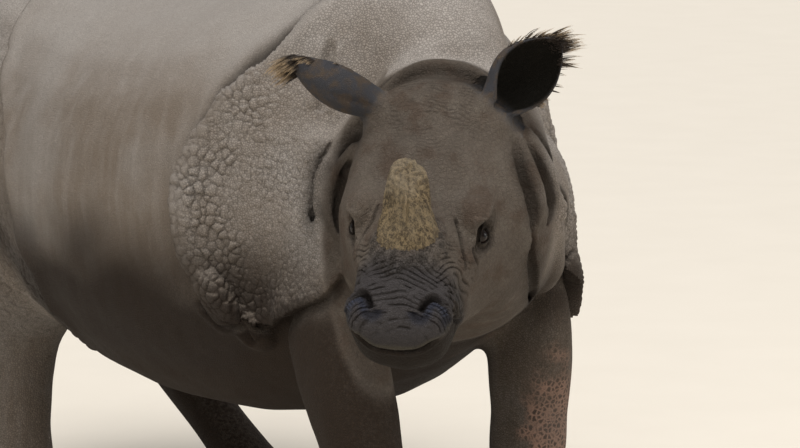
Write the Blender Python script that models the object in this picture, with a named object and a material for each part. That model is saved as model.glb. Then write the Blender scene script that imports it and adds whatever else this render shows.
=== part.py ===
"""Greater one-horned rhinoceros, life size, walking with its head low and turned to its right.

The animal faces -Y, its left side is +X and it stands on z = 0. Trunk, neck, head, limbs and
tail are lofted from named sections, fused into one hide, and parted again by thin cuts.
"""
import math

import bmesh
import bpy
from mathutils import Matrix, Vector

# Driving dimensions, in metres.
SHOULDER_Y = -0.80          # the forelegs' axis along the trunk
HIP_Y = 0.90                # the hind legs' axis
LEG_SPREAD = 0.30           # half the distance between left and right legs
HEAD_POLL = Vector((-0.20, -1.15, 1.385))
HEAD_YAW = math.radians(44)     # the head turns to the animal's right
HEAD_PITCH = math.radians(43)   # and hangs below the horizontal
HEAD_ROLL = math.radians(3)
EYE_RADIUS = 0.024
EYE_PLACE = (0.136, 0.338, -0.130)      # left or right, along the face, above it
HORN_LENGTH = 0.150
HORN_ALONG = 0.440          # the horn's middle along the face
HORN_FOOT = -0.050          # where its own base lies, above the face line
GAP = 0.0004                # left between neighbouring solids
FUSE_VOXEL = 0.013          # the fused hide's first mesh
HIDE_FACES = 3500           # triangles of the fused hide before it is parted

SIDES = 28                  # points round a lofted section
FEW_SIDES = 10              # round a small piece or a cut
STEPS = 4                   # sections from one named section to the next

HIDE = (0.225, 0.195, 0.170)
HIDE_DARK = (0.130, 0.112, 0.098)
HORN = (0.360, 0.290, 0.190)
NAIL = (0.120, 0.100, 0.085)
EYE = (0.020, 0.014, 0.010)
DULL = 0.8                  # roughness of hide

ACROSS = Vector((1, 0, 0))
FORWARD = Vector((0, -1, 0))
UP = Vector((0, 0, 1))

FOOT_TOP = 0.165            # where a foot's solid parts from its leg's
NECK_CUT = Vector((0, -0.97, 1.15))
NECK_CUT_FACES = Vector((-0.10, -0.92, 0.36))
LIMB_SQUARENESS = 2.2
NECK_SQUARENESS = 2.1


def material(name, colour, roughness):
    """A plain Principled material."""
    made = bpy.data.materials.new(name)
    made.use_nodes = True
    shader = made.node_tree.nodes["Principled BSDF"]
    shader.inputs["Base Color"].default_value = (*colour, 1)
    shader.inputs["Roughness"].default_value = roughness
    made.diffuse_color = (*colour, 1)
    return made


def place(name, mesh):
    """A new object with this mesh, in the scene."""
    made = bpy.data.objects.new(name, mesh)
    bpy.context.scene.collection.objects.link(made)
    return made


def evaluated(shape):
    """The object's mesh with its modifiers applied; the object goes."""
    graph = bpy.context.evaluated_depsgraph_get()
    mesh = bpy.data.meshes.new_from_object(shape.evaluated_get(graph))
    bpy.data.objects.remove(shape)
    return mesh


def eased(rows, steps=STEPS):
    """Rows of numbers with a smooth curve's rows between each two."""
    made = []
    last = len(rows) - 1
    for i in range(last):
        a, b, c, d = rows[max(i - 1, 0)], rows[i], rows[i + 1], rows[min(i + 2, last)]
        for k in range(steps):
            t = k / steps
            made.append([
                0.5 * (2 * q + (r - p) * t + (2 * p - 5 * q + 4 * r - s) * t * t
                       + (3 * q - p - 3 * r + s) * t ** 3)
                for p, q, r, s in zip(a, b, c, d)
            ])
    made.append(list(rows[last]))
    return made


def ring(centre, across, up, half_width, rise, drop, squareness=2.3, sides=SIDES):
    """One closed section: a superellipse with its own height above and below the centre."""
    points = []
    for i in range(sides):
        turn = 2 * math.pi * i / sides
        c, s = math.cos(turn), math.sin(turn)
        x = half_width * math.copysign(abs(c) ** (2 / squareness), c)
        z = (rise if s > 0 else drop) * math.copysign(abs(s) ** (2 / squareness), s)
        points.append(centre + across * x + up * z)
    return points


def loft(name, rings):
    """A closed skin over rings of equal count, in triangles so that a grown copy folds alike."""
    mesh = bmesh.new()
    loops = [[mesh.verts.new(p) for p in points] for points in rings]
    for near, far in zip(loops, loops[1:]):
        for i in range(len(near)):
            j = (i + 1) % len(near)
            mesh.faces.new((near[i], near[j], far[j]))
            mesh.faces.new((near[i], far[j], far[i]))
    mesh.faces.new(loops[0][::-1])
    mesh.faces.new(loops[-1])
    bmesh.ops.recalc_face_normals(mesh, faces=mesh.faces)
    made = bpy.data.meshes.new(name)
    mesh.to_mesh(made)
    mesh.free()
    return place(name, made)


def ball(name, centre, radii, turn=None, segments=24):
    """An ellipsoid, its radii along the axes of the turn."""
    mesh = bmesh.new()
    bmesh.ops.create_uvsphere(mesh, u_segments=segments, v_segments=segments // 2, radius=1)
    frame = Matrix.Translation(centre) @ (turn or Matrix.Identity(3)).to_4x4()
    frame = frame @ Matrix.Diagonal((*radii, 1))
    bmesh.ops.transform(mesh, matrix=frame, verts=mesh.verts)
    made = bpy.data.meshes.new(name)
    mesh.to_mesh(made)
    mesh.free()
    return place(name, made)


def roll(name, points, radii, sides=14, steps=5):
    """A fold of hide: a round bar along smooth points, with its own radius at each."""
    rows = eased([[*p, r] for p, r in zip(points, radii)], steps)
    path = [Vector(row[:3]) for row in rows]
    rings = []
    for i, (here, row) in enumerate(zip(path, rows)):
        ahead = (path[min(i + 1, len(path) - 1)] - path[max(i - 1, 0)]).normalized()
        if i == 0:
            across = ahead.orthogonal()
        across = (across - ahead * across.dot(ahead)).normalized()
        up = ahead.cross(across)
        rings.append([
            here + row[3] * (across * math.cos(t) + up * math.sin(t))
            for t in (2 * math.pi * k / sides for k in range(sides))
        ])
    return loft(name, rings)


# The trunk: y, top, height of the widest level, belly, half width, squareness.
TRUNK_ROWS = (
    (1.375, 1.22, 1.05, 0.90, 0.10, 2.0),
    (1.330, 1.37, 1.08, 0.76, 0.27, 2.1),
    (1.200, 1.50, 1.08, 0.66, 0.43, 2.2),
    (1.000, 1.59, 1.07, 0.58, 0.53, 2.3),
    (0.800, 1.62, 1.07, 0.53, 0.56, 2.3),
    (0.550, 1.60, 1.05, 0.49, 0.575, 2.25),
    (0.250, 1.57, 1.03, 0.445, 0.62, 2.2),
    (-0.050, 1.555, 1.02, 0.435, 0.635, 2.2),
    (-0.350, 1.59, 1.05, 0.465, 0.585, 2.2),
    (-0.580, 1.65, 1.08, 0.56, 0.480, 2.2),
    (-0.760, 1.66, 1.08, 0.65, 0.375, 2.2),
    (-0.900, 1.60, 1.06, 0.72, 0.290, 2.2),
    (-1.010, 1.48, 1.04, 0.78, 0.225, 2.1),
    (-1.070, 1.30, 1.02, 0.86, 0.130, 2.0),
)


def trunk_row(y):
    """The trunk's section at any y, read off the smooth rows."""
    rows = eased(TRUNK_ROWS, 12)
    for near, far in zip(rows, rows[1:]):
        if far[0] <= y <= near[0]:
            t = (near[0] - y) / (near[0] - far[0])
            return [a + (b - a) * t for a, b in zip(near, far)]
    return rows[0] if y > rows[0][0] else rows[-1]


def hide_point(y, turn, lift=0.0):
    """A point on the trunk's side: turn is 0 on the back, 90 at the left, 180 on the belly."""
    _, top, wide, belly, half, square = trunk_row(y)
    angle = math.radians(90 - turn)
    c, s = math.cos(angle), math.sin(angle)
    x = (half + lift) * math.copysign(abs(c) ** (2 / square), c)
    reach = (top - wide if s > 0 else wide - belly) + lift
    return Vector((x, y, wide + reach * math.copysign(abs(s) ** (2 / square), s)))


def trunk():
    return loft("trunk_form", [
        ring(Vector((0, y, wide)), ACROSS, UP, half, top - wide, wide - belly, square)
        for y, top, wide, belly, half, square in eased(TRUNK_ROWS)
    ])


# The neck: centre, half width, rise, drop. It bends to the animal's right.
NECK_ROWS = (
    (0.00, -0.62, 1.10, 0.42, 0.50, 0.46),
    (-0.01, -0.82, 1.11, 0.355, 0.43, 0.41),
    (-0.05, -0.96, 1.11, 0.305, 0.34, 0.38),
    (-0.10, -1.07, 1.10, 0.265, 0.27, 0.34),
    (-0.16, -1.16, 1.08, 0.225, 0.22, 0.28),
    (-0.22, -1.24, 1.06, 0.170, 0.16, 0.20),
)


def neck():
    """Its sections stand square to its middle line."""
    rows = eased(NECK_ROWS)
    rings = []
    for i, (x, y, z, half_width, rise, drop) in enumerate(rows):
        near, far = rows[max(i - 1, 0)], rows[min(i + 1, len(rows) - 1)]
        ahead = (Vector(far[:3]) - Vector(near[:3])).normalized()
        across = UP.cross(ahead).normalized()
        up = ahead.cross(across)
        rings.append(ring(Vector((x, y, z)), across, up, half_width, rise, drop, NECK_SQUARENESS))
    return loft("neck_form", rings)


def head_turn():
    """The head's own axes: X to its left, Y back along the face, Z up off the face."""
    return (
        Matrix.Rotation(-HEAD_YAW, 3, "Z") @ Matrix.Rotation(HEAD_PITCH, 3, "X")
        @ Matrix.Rotation(HEAD_ROLL, 3, "Y")
    )


def on_head(left, along, above):
    """A place on the head: to its left, along the face from the poll, above the face line."""
    return HEAD_POLL + head_turn() @ Vector((left, -along, above))


# The head: along the face, top, level of the widest, bottom, half width, squareness.
HEAD_ROWS = (
    (-0.080, -0.070, -0.22, -0.34, 0.110, 2.0),
    (-0.040, -0.020, -0.23, -0.41, 0.155, 2.1),
    (0.000, 0.000, -0.24, -0.445, 0.178, 2.2),
    (0.080, -0.002, -0.25, -0.470, 0.200, 2.35),
    (0.170, -0.014, -0.26, -0.480, 0.214, 2.5),
    (0.260, -0.034, -0.27, -0.475, 0.212, 2.5),
    (0.340, -0.046, -0.25, -0.445, 0.180, 2.4),
    (0.420, -0.036, -0.21, -0.385, 0.143, 2.4),
    (0.500, -0.018, -0.17, -0.320, 0.124, 2.5),
    (0.570, -0.030, -0.15, -0.280, 0.118, 2.6),
    (0.620, -0.050, -0.15, -0.258, 0.112, 2.6),
    (0.655, -0.085, -0.15, -0.235, 0.088, 2.3),
    (0.668, -0.125, -0.16, -0.205, 0.050, 2.0),
)


# Rounded masses on the head: its place (left, along, above) and radii. The paired ones stand on both sides.
MIDDLE_MASSES = {
    "horn_boss": ((0, 0.455, -0.050), (0.088, 0.105, 0.060)),
    "crown": ((0, 0.035, -0.050), (0.135, 0.090, 0.060)),
    "upper_lip": ((0, 0.620, -0.165), (0.080, 0.052, 0.050)),
    "chin": ((0, 0.560, -0.248), (0.082, 0.085, 0.040)),
}
PAIRED_MASSES = {
    "brow": ((0.128, 0.285, -0.090), (0.040, 0.080, 0.045)),
    "cheek": ((0.148, 0.230, -0.310), (0.072, 0.150, 0.165)),
    "nostril_pad": ((0.078, 0.600, -0.105), (0.047, 0.055, 0.055)),
    "ear_stump": ((0.120, 0.045, -0.080), (0.060, 0.066, 0.066)),
}


def head():
    """The skull's form and the masses over it."""
    turn = head_turn()
    pieces = [loft("head_form", [
        ring(on_head(0, along, wide), turn @ ACROSS, turn @ UP, half, top - wide, wide - bottom, square)
        for along, top, wide, bottom, half, square in eased(HEAD_ROWS)
    ])]
    for name, (middle, radii) in MIDDLE_MASSES.items():
        pieces.append(ball(name, on_head(*middle), radii, turn))
    for name, ((left, along, above), radii) in PAIRED_MASSES.items():
        for side in (1, -1):
            pieces.append(ball(name, on_head(side * left, along, above), radii, turn))
    return pieces


# Limbs: height, centre along y, half width, half depth; the first rows lie inside the trunk.
FORELEG = (
    (1.25, 0.08, 0.070, 0.18),
    (1.05, 0.06, 0.090, 0.22),
    (0.88, 0.03, 0.092, 0.19),
    (0.74, 0.00, 0.098, 0.155),
    (0.61, 0.00, 0.100, 0.125),
    (0.50, 0.00, 0.092, 0.106),
    (0.42, 0.00, 0.094, 0.104),
    (0.34, 0.00, 0.086, 0.094),
    (0.24, 0.00, 0.082, 0.088),
    (0.16, 0.00, 0.092, 0.100),
    (0.09, -0.01, 0.112, 0.120),
    (0.04, -0.015, 0.122, 0.132),
    (-0.03, -0.015, 0.120, 0.130),
)
HINDLEG = (
    (1.20, 0.04, 0.150, 0.28),
    (1.00, 0.00, 0.185, 0.33),
    (0.84, -0.03, 0.188, 0.345),
    (0.72, -0.05, 0.180, 0.340),
    (0.63, -0.04, 0.160, 0.290),
    (0.555, 0.01, 0.122, 0.185),
    (0.480, 0.04, 0.098, 0.130),
    (0.40, 0.05, 0.090, 0.112),
    (0.30, 0.03, 0.083, 0.092),
    (0.20, 0.01, 0.083, 0.088),
    (0.13, 0.00, 0.094, 0.102),
    (0.07, -0.01, 0.110, 0.122),
    (0.03, -0.015, 0.116, 0.128),
    (-0.03, -0.015, 0.114, 0.126),
)
# How far each limb has swung forward at the elbow or knee, the wrist or hock, and the sole,
# and how far in its wrist or hock and its sole tread.
SWING = {
    "foreleg_right": (0.03, 0.19, 0.27, 0.00, 0.01),
    "foreleg_left": (0.00, -0.02, -0.06, 0.00, 0.00),
    "hindleg_right": (0.00, -0.03, -0.06, 0.02, 0.00),
    "hindleg_left": (0.05, 0.02, 0.38, 0.14, 0.05),
}


def is_fore(name):
    return name.startswith("fore")


def limb_axis(name, height, shift=0.0):
    """The limb's middle at this height, behind its axis by the shift."""
    elbow, wrist, sole, wrist_in, sole_in = SWING[name]
    side = 1 if name.endswith("left") else -1
    rows = eased((
        (1.20, 0, 0), (0.80, elbow, wrist_in * 0.2), (0.45, wrist, wrist_in), (0.08, sole, sole_in),
        (-0.12, sole, sole_in),
    ), 8)
    swing, inward = 0.0, 0.0
    for (high, a, c), (low, b, d) in zip(rows, rows[1:]):
        if low <= height <= high:
            t = (high - height) / (high - low)
            swing, inward = a + (b - a) * t, c + (d - c) * t
    axis = SHOULDER_Y if is_fore(name) else HIP_Y
    return Vector((side * (LEG_SPREAD - inward), axis + shift - swing, height))


def limb(name):
    """One leg; where it slants, its level sections are longer by the slant."""
    rings = []
    step = 0.02
    for height, shift, half_width, half_depth in eased(FORELEG if is_fore(name) else HINDLEG):
        below, over = limb_axis(name, height - step), limb_axis(name, height + step)
        half_depth *= math.hypot(1, (below - over).y / (2 * step))
        rings.append(ring(limb_axis(name, height, shift), ACROSS, FORWARD, half_width, half_depth, half_depth,
                          LIMB_SQUARENESS))
    return loft(name + "_form", rings)


# The tail: y, height and thickness. It hangs in the groove between the hips.
TAIL_ROWS = (
    (1.300, 1.34, 0.060),
    (1.375, 1.30, 0.052),
    (1.415, 1.16, 0.042),
    (1.425, 0.98, 0.032),
    (1.425, 0.80, 0.028),
    (1.430, 0.66, 0.020),
)


def tail(name):
    path = [Vector((0, y, z)) for y, z, _ in TAIL_ROWS]
    return roll(name, path, [row[2] for row in TAIL_ROWS], FEW_SIDES, 3)


# Folds on the trunk: y, turn from the back, and thickness; and how far each fold lies off the hide.
TRUNK_FOLDS = {
    "shoulder_edge": (-0.012, (
        (-0.76, 14, 0.018), (-0.68, 40, 0.026), (-0.60, 55, 0.032), (-0.53, 72, 0.036), (-0.50, 90, 0.040),
        (-0.51, 108, 0.040), (-0.54, 126, 0.030),
    )),
    "flank_edge": (-0.016, (
        (0.64, 16, 0.018), (0.57, 42, 0.024), (0.48, 65, 0.030), (0.34, 82, 0.034), (0.25, 100, 0.036),
        (0.21, 118, 0.036), (0.24, 136, 0.028),
    )),
    "rump_edge": (-0.006, ((1.24, 26, 0.030), (1.26, 58, 0.040), (1.23, 90, 0.044), (1.15, 116, 0.030))),
}
# Folds round the back of the head: left, along, above, and thickness.
NAPE_ROLL = (
    (-0.150, -0.080, -0.170, 0.020), (-0.095, -0.100, -0.095, 0.030), (0.000, -0.105, -0.062, 0.032),
    (0.095, -0.100, -0.095, 0.030), (0.150, -0.080, -0.170, 0.020),
)
HEAD_FOLDS = {
    "cheek_fold": (
        (0.165, -0.020, -0.130, 0.022), (0.205, -0.005, -0.200, 0.030), (0.222, 0.020, -0.290, 0.034),
        (0.215, 0.050, -0.390, 0.034), (0.165, 0.100, -0.485, 0.026),
    ),
    "collar": (
        (0.170, -0.105, -0.140, 0.026), (0.215, -0.095, -0.240, 0.034), (0.235, -0.085, -0.360, 0.040),
        (0.225, -0.060, -0.480, 0.046), (0.150, -0.020, -0.580, 0.046), (0.050, 0.000, -0.620, 0.036),
    ),
}


def folds():
    """The hide's great folds: shoulder and flank shields, rump, nape, collar and cheek rolls."""
    made = [roll("nape_roll", [on_head(*row[:3]) for row in NAPE_ROLL], [row[3] for row in NAPE_ROLL])]
    for side in (1, -1):
        for name, (lift, rows) in TRUNK_FOLDS.items():
            path = [hide_point(y, side * turn, lift) for y, turn, _ in rows]
            made.append(roll(name, path, [row[2] for row in rows]))
        for name, rows in HEAD_FOLDS.items():
            path = [on_head(side * left, along, above) for left, along, above, _ in rows]
            made.append(roll(name, path, [row[3] for row in rows]))
    return made


# The ear along its length: place, half width, depth of the leaf.
EAR_ROWS = (
    (-0.10, 0.038, 0.036),
    (0.06, 0.036, 0.034),
    (0.20, 0.046, 0.042),
    (0.38, 0.064, 0.050),
    (0.58, 0.070, 0.050),
    (0.78, 0.056, 0.038),
    (0.92, 0.034, 0.024),
    (1.00, 0.012, 0.010),
)
EAR_HOLLOW = (4, -1)        # which of the ear's rings its hollow follows
EAR_SEAT = (0, 9)           # and which of them stand in the head
EAR_WALL = 0.0075
EAR_BASE = (0.120, 0.042, -0.052)
# Each ear's side, the way from its base to its tip, the way its hollow faces, and its spread.
EAR_SET = {
    "ear_left": (1, Vector((0.155, -0.065, 0.170)), Vector((-0.45, -0.88, 0.10)), 1.12),
    "ear_right": (-1, Vector((-0.190, 0.110, 0.125)), Vector((-0.45, 0.55, 0.60)), 0.94),
}


def ear_rings(name, grow=0.0, wall=0.0, lift=0.0, span=(0, None)):
    """Rings of the ear's leaf, from its stalk to its tip; the hollow's are thinner and lifted."""
    side, reach_out, opening, spread = EAR_SET[name]
    left, down_face, above = EAR_BASE
    base = on_head(side * left, down_face, above)
    along = reach_out.normalized()
    face = (opening - along * opening.dot(along)).normalized()
    across = along.cross(face)
    rings = []
    for share, half, depth in eased(EAR_ROWS, 2)[slice(*span)]:
        centre = base + reach_out * share + face * (depth * lift)
        deep = depth - wall + grow
        rings.append(ring(centre, across, face, half * spread - wall + grow, deep, deep, 2.0, FEW_SIDES))
    rings[0] = [point - along * grow for point in rings[0]]
    return rings


def ear(name):
    """A deep leaf-shaped cup on a narrow stalk."""
    leaf = loft(name, ear_rings(name))
    return carve(leaf, loft("hollow", ear_rings(name, wall=EAR_WALL, lift=0.62, span=EAR_HOLLOW)))


# The horn: share of its height above the boss, half width, half depth, lean back.
HORN_ROWS = (
    (-0.10, 0.066, 0.076, -0.010),
    (0.18, 0.070, 0.080, 0.000),
    (0.34, 0.064, 0.070, 0.012),
    (0.55, 0.054, 0.056, 0.034),
    (0.80, 0.047, 0.046, 0.060),
    (1.05, 0.040, 0.036, 0.086),
    (1.20, 0.028, 0.024, 0.104),
)


def horn_rings(grow=0.0):
    """The horn's rings: broad and boss-like below, leaning back, blunt above."""
    turn = head_turn()
    across, back = turn @ ACROSS, turn @ -FORWARD
    rings = []
    for rise, half_width, half_depth, lean in eased(HORN_ROWS, 2):
        centre = on_head(0, HORN_ALONG - lean, HORN_FOOT + rise * HORN_LENGTH)
        depth = half_depth + grow
        rings.append(ring(centre, across, back, half_width + grow, depth, depth, 2.2, FEW_SIDES))
    rings[0] = [point - turn @ UP * grow for point in rings[0]]
    return rings


def eye_ball(name, side, grow=0.0):
    left, along, above = EYE_PLACE
    return ball(name, on_head(side * left, along, above), (EYE_RADIUS + grow,) * 3, segments=14)


# Nails: how far round the foot's front each stands, in degrees, and its half width.
NAILS = {"inner": (-52, 0.034), "middle": (0, 0.044), "outer": (52, 0.034)}
NAIL_THICKNESS = 0.017
NAIL_HALF_HEIGHT = 0.0345
NAIL_MIDDLE = 0.0375        # its height above the floor
NAIL_LEAN = math.radians(14)
FORE_REACH = (0.116, 0.126)     # from the foot's middle out to the nails, sideways and forward
HIND_REACH = (0.110, 0.122)


def nail_shapes(name, grow=0.0):
    """Three broad nails round the front of the foot."""
    side = 1 if name.endswith("left") else -1
    sideways, forward = FORE_REACH if is_fore(name) else HIND_REACH
    middle = limb_axis(name, 0.0, -0.015)
    made = []
    for label, (degrees, half_width) in NAILS.items():
        angle = math.radians(degrees * side)
        centre = middle + Vector((math.sin(angle) * sideways, -math.cos(angle) * forward, NAIL_MIDDLE))
        radii = (half_width + grow, NAIL_THICKNESS + grow, NAIL_HALF_HEIGHT + grow)
        turn = Matrix.Rotation(angle, 3, "Z") @ Matrix.Rotation(NAIL_LEAN, 3, "X")
        made.append(ball(name + "_nail_" + label, centre, radii, turn, 8))
    return made


# The space round a foreleg: height, half width, half depth. It closes as a dome over the elbow.
ENVELOPE_ROWS = (
    (-0.10, 0.170, 0.240),
    (0.45, 0.200, 0.240),
    (0.60, 0.235, 0.270),
    (0.79, 0.200, 0.235),
    (0.90, 0.080, 0.110),
)
HIND_HIGHER, HIND_DEEPER = 1.065, 1.4       # the same round a thigh


def envelope(name, grow=0.0):
    """The space that a limb's solid is cut to."""
    higher, deeper = (1, 1) if is_fore(name) else (HIND_HIGHER, HIND_DEEPER)
    rings = []
    for height, half_width, half_depth in ENVELOPE_ROWS:
        centre = limb_axis(name, height * higher) + UP * grow
        depth = half_depth * deeper + grow
        rings.append(ring(centre, ACROSS, FORWARD, half_width + grow, depth, depth, 2.0, FEW_SIDES))
    return loft(name + "_envelope", rings)


HEAD_SPARE = 0.050          # left round the head's own form in the space it is cut to
HORN_SPARE = 0.060          # and above it besides


def head_envelope(grow=0.0):
    """The space that the head's solid is cut to."""
    turn = head_turn()
    spare = HEAD_SPARE + grow
    rings = []
    for along, top, wide, bottom, half, square in HEAD_ROWS[1::2]:
        centre = on_head(0, along + math.copysign(grow, along), wide)
        rings.append(ring(centre, turn @ ACROSS, turn @ UP, half + spare, top - wide + spare + HORN_SPARE,
                          wide - bottom + spare, square, FEW_SIDES))
    rings.append([point - turn @ Vector((0, HEAD_SPARE, 0)) for point in rings[-1]])
    return loft("head_envelope", rings)


def fused(pieces):
    """One hide over all the forms."""
    mesh = bmesh.new()
    for shape in pieces:
        mesh.from_mesh(shape.data)
        bpy.data.objects.remove(shape)
    joined = bpy.data.meshes.new("hide")
    mesh.to_mesh(joined)
    mesh.free()
    hide = place("hide", joined)
    remesh = hide.modifiers.new("one_skin", "REMESH")
    remesh.mode = "VOXEL"
    remesh.voxel_size = FUSE_VOXEL
    smooth = hide.modifiers.new("soften", "SMOOTH")
    smooth.factor = 0.5
    smooth.iterations = 6
    hide = place("hide", evaluated(hide))
    thin = hide.modifiers.new("thin", "DECIMATE")
    hide.data.calc_loop_triangles()
    thin.ratio = HIDE_FACES / len(hide.data.loop_triangles)
    return place("hide", evaluated(hide))


def boolean(body, other, operation):
    """The body changed by the other shape, which goes."""
    change = body.modifiers.new("cut", "BOOLEAN")
    change.solver = "EXACT"
    change.operation = operation
    change.object = other
    name = body.name
    mesh = evaluated(body)
    bpy.data.objects.remove(other)
    return place(name, mesh)


def carve(body, cutter):
    return boolean(body, cutter, "DIFFERENCE")


def copy_of(shape, name):
    return place(name, shape.data.copy())


def sliced(shape, point, normal, name, away_name):
    """The shape parted by a plane: what lies along the normal, and what lies against it."""
    made = []
    for label, way in ((name, 1), (away_name, -1)):
        mesh = bmesh.new()
        mesh.from_mesh(shape.data)
        face = normal * way
        cut = bmesh.ops.bisect_plane(
            mesh, geom=mesh.verts[:] + mesh.edges[:] + mesh.faces[:], dist=1e-6,
            plane_co=point + face * (GAP / 2), plane_no=face, clear_inner=True)
        rim = [e for e in cut["geom_cut"] if isinstance(e, bmesh.types.BMEdge)]
        bmesh.ops.holes_fill(mesh, edges=rim, sides=0)
        bmesh.ops.triangulate(mesh, faces=[f for f in mesh.faces if len(f.verts) > 4])
        half = bpy.data.meshes.new(label)
        mesh.to_mesh(half)
        mesh.free()
        made.append((label, half))
    bpy.data.objects.remove(shape)
    return [place(label, half) for label, half in made]


def main_body(shape):
    """The shape without any crumbs that a cut has left beside it."""
    mesh = bmesh.new()
    mesh.from_mesh(shape.data)
    left = set(mesh.verts)
    islands = []
    while left:
        seed = left.pop()
        island, edge_of = {seed}, [seed]
        while edge_of:
            here = edge_of.pop()
            for edge in here.link_edges:
                there = edge.other_vert(here)
                if there in left:
                    left.discard(there)
                    island.add(there)
                    edge_of.append(there)
        islands.append(island)
    islands.sort(key=len)
    crumbs = [v for island in islands[:-1] for v in island]
    bmesh.ops.delete(mesh, geom=crumbs, context="VERTS")
    mesh.to_mesh(shape.data)
    mesh.free()
    return shape


def grown(shape, by):
    """The shape pushed out along its normals."""
    for vertex, normal in [(v, v.normal.copy()) for v in shape.data.vertices]:
        vertex.co += normal * by
    return shape


def paint(shape, name, colour, roughness):
    found = bpy.data.materials.get(name) or material(name, colour, roughness)
    shape.data.materials.clear()
    shape.data.materials.append(found)
    shape.data.shade_smooth()
    shape.data.set_sharp_from_angle(angle=math.radians(50))


def centre_over_origin():
    """Moves every solid so that the box round them all is centred over the origin."""
    shapes = list(bpy.data.objects)
    for axis in (0, 1):
        spread = [v.co[axis] for shape in shapes for v in shape.data.vertices]
        middle = (min(spread) + max(spread)) / 2
        for shape in shapes:
            for vertex in shape.data.vertices:
                vertex.co[axis] -= middle


def stand_on_floor(hide):
    """The hide without its doubled points and without what lies below z = 0."""
    mesh = bmesh.new()
    mesh.from_mesh(hide.data)
    bmesh.ops.remove_doubles(mesh, verts=mesh.verts, dist=1e-5)
    mesh.to_mesh(hide.data)
    mesh.free()
    hide, below = sliced(hide, Vector((0, 0, -GAP / 2)), UP, "hide", "below")
    bpy.data.objects.remove(below)
    return hide


def part_limbs(hide):
    """Cuts the legs off the hide, and each leg into leg, foot and nails; gives back the rest."""
    for name in SWING:
        whole = main_body(boolean(copy_of(hide, name), envelope(name), "INTERSECT"))
        hide = main_body(carve(hide, envelope(name, GAP)))
        leg, foot = sliced(whole, UP * FOOT_TOP, UP, name, name.replace("leg", "foot"))
        for cutter in nail_shapes(name, GAP):
            foot = carve(foot, cutter)
        for nail in nail_shapes(name):
            paint(nail, "nail", NAIL, 0.5)
        paint(foot, "foot_hide", HIDE_DARK, DULL)
        paint(leg, "leg_hide", HIDE, DULL)
    return hide


def fit_head(head_part):
    """Sets eyes, ears and horn in their seats in the head."""
    for side, name in ((1, "left"), (-1, "right")):
        head_part = carve(head_part, eye_ball("socket", side, GAP))
        paint(eye_ball("eye_" + name, side), "eye", EYE, 0.1)
        head_part = carve(head_part, loft("seat", ear_rings("ear_" + name, grow=2 * GAP, span=EAR_SEAT)))
        paint(ear("ear_" + name), "ear_hide", HIDE_DARK, DULL)
    head_part = carve(head_part, loft("seat", horn_rings(2 * GAP)))
    paint(loft("horn", horn_rings()), "horn", HORN, 0.6)
    return head_part


def build():
    for old in list(bpy.data.objects):
        bpy.data.objects.remove(old)
    hide = stand_on_floor(fused([trunk(), neck(), *head(), *folds(), *(limb(name) for name in SWING)]))
    hide = part_limbs(hide)
    head_part = fit_head(main_body(boolean(copy_of(hide, "head"), head_envelope(), "INTERSECT")))
    hide = main_body(carve(hide, head_envelope(GAP)))
    neck_part, trunk_part = sliced(hide, NECK_CUT, NECK_CUT_FACES.normalized(), "neck", "trunk")
    tail_part = tail("tail")
    trunk_part = carve(trunk_part, grown(copy_of(tail_part, "seat"), GAP))
    for shape in (head_part, neck_part, trunk_part, tail_part):
        paint(shape, shape.name + "_hide", HIDE, DULL)
    centre_over_origin()


build()
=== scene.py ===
"""The looks of a greater one-horned rhinoceros: its folded, studded hide, horn, eyes, nails and hair."""

import math
import random

import bmesh
import bpy
import numpy as np
from mathutils import Matrix, Vector
from mathutils.bvhtree import BVHTree
from mathutils.kdtree import KDTree


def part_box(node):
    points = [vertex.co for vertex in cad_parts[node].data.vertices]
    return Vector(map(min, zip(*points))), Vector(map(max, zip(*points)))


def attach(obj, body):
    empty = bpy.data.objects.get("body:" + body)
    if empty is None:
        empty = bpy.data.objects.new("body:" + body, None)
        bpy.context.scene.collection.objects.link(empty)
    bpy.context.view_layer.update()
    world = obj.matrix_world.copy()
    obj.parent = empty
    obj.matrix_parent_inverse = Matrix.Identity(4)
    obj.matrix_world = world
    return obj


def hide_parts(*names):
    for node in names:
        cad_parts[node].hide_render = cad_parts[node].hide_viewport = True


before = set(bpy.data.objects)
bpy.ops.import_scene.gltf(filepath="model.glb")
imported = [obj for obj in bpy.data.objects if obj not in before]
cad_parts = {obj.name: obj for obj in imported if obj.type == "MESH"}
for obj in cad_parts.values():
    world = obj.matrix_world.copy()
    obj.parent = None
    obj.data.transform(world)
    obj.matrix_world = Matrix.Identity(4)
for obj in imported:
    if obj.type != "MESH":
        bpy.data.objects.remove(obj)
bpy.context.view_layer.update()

# ---------------------------------------------------------------------------------------------
# The animal's own measures, in metres. It faces -Y, its left side is +X.
# ---------------------------------------------------------------------------------------------
HEAD_YAW, HEAD_PITCH, HEAD_ROLL = (math.radians(a) for a in (44, 43, 3))
EYE_LEFT, EYE_ALONG, EYE_ABOVE = 0.136, 0.338, -0.130   # its place: sideways, down the face, above it
EYE_RADIUS = 0.024
EYE_OPENING = (0.0205, 0.0150)      # half its length and half its height between the lids
EYE_LOOKS = Vector((0.80, -0.20, 0.50))     # the left eye's way out, in the head's own axes
HORN_ALONG, HORN_FOOT, HORN_LENGTH = 0.440, -0.050, 0.150   # its middle down the face, its foot's height
POLL_FROM_TRUNK = -1.15             # the poll's y on the trunk's own scale
TRUNK_AXIS = 1.06                   # the height that the turn round the trunk is measured from

COARSE = 0.010                      # the skin's first mesh, smoothed
FINE = 0.0063                       # its second, with the folds in it
HEAD_TURN = (Matrix.Rotation(-HEAD_YAW, 3, "Z") @ Matrix.Rotation(HEAD_PITCH, 3, "X")
             @ Matrix.Rotation(HEAD_ROLL, 3, "Y"))

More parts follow.
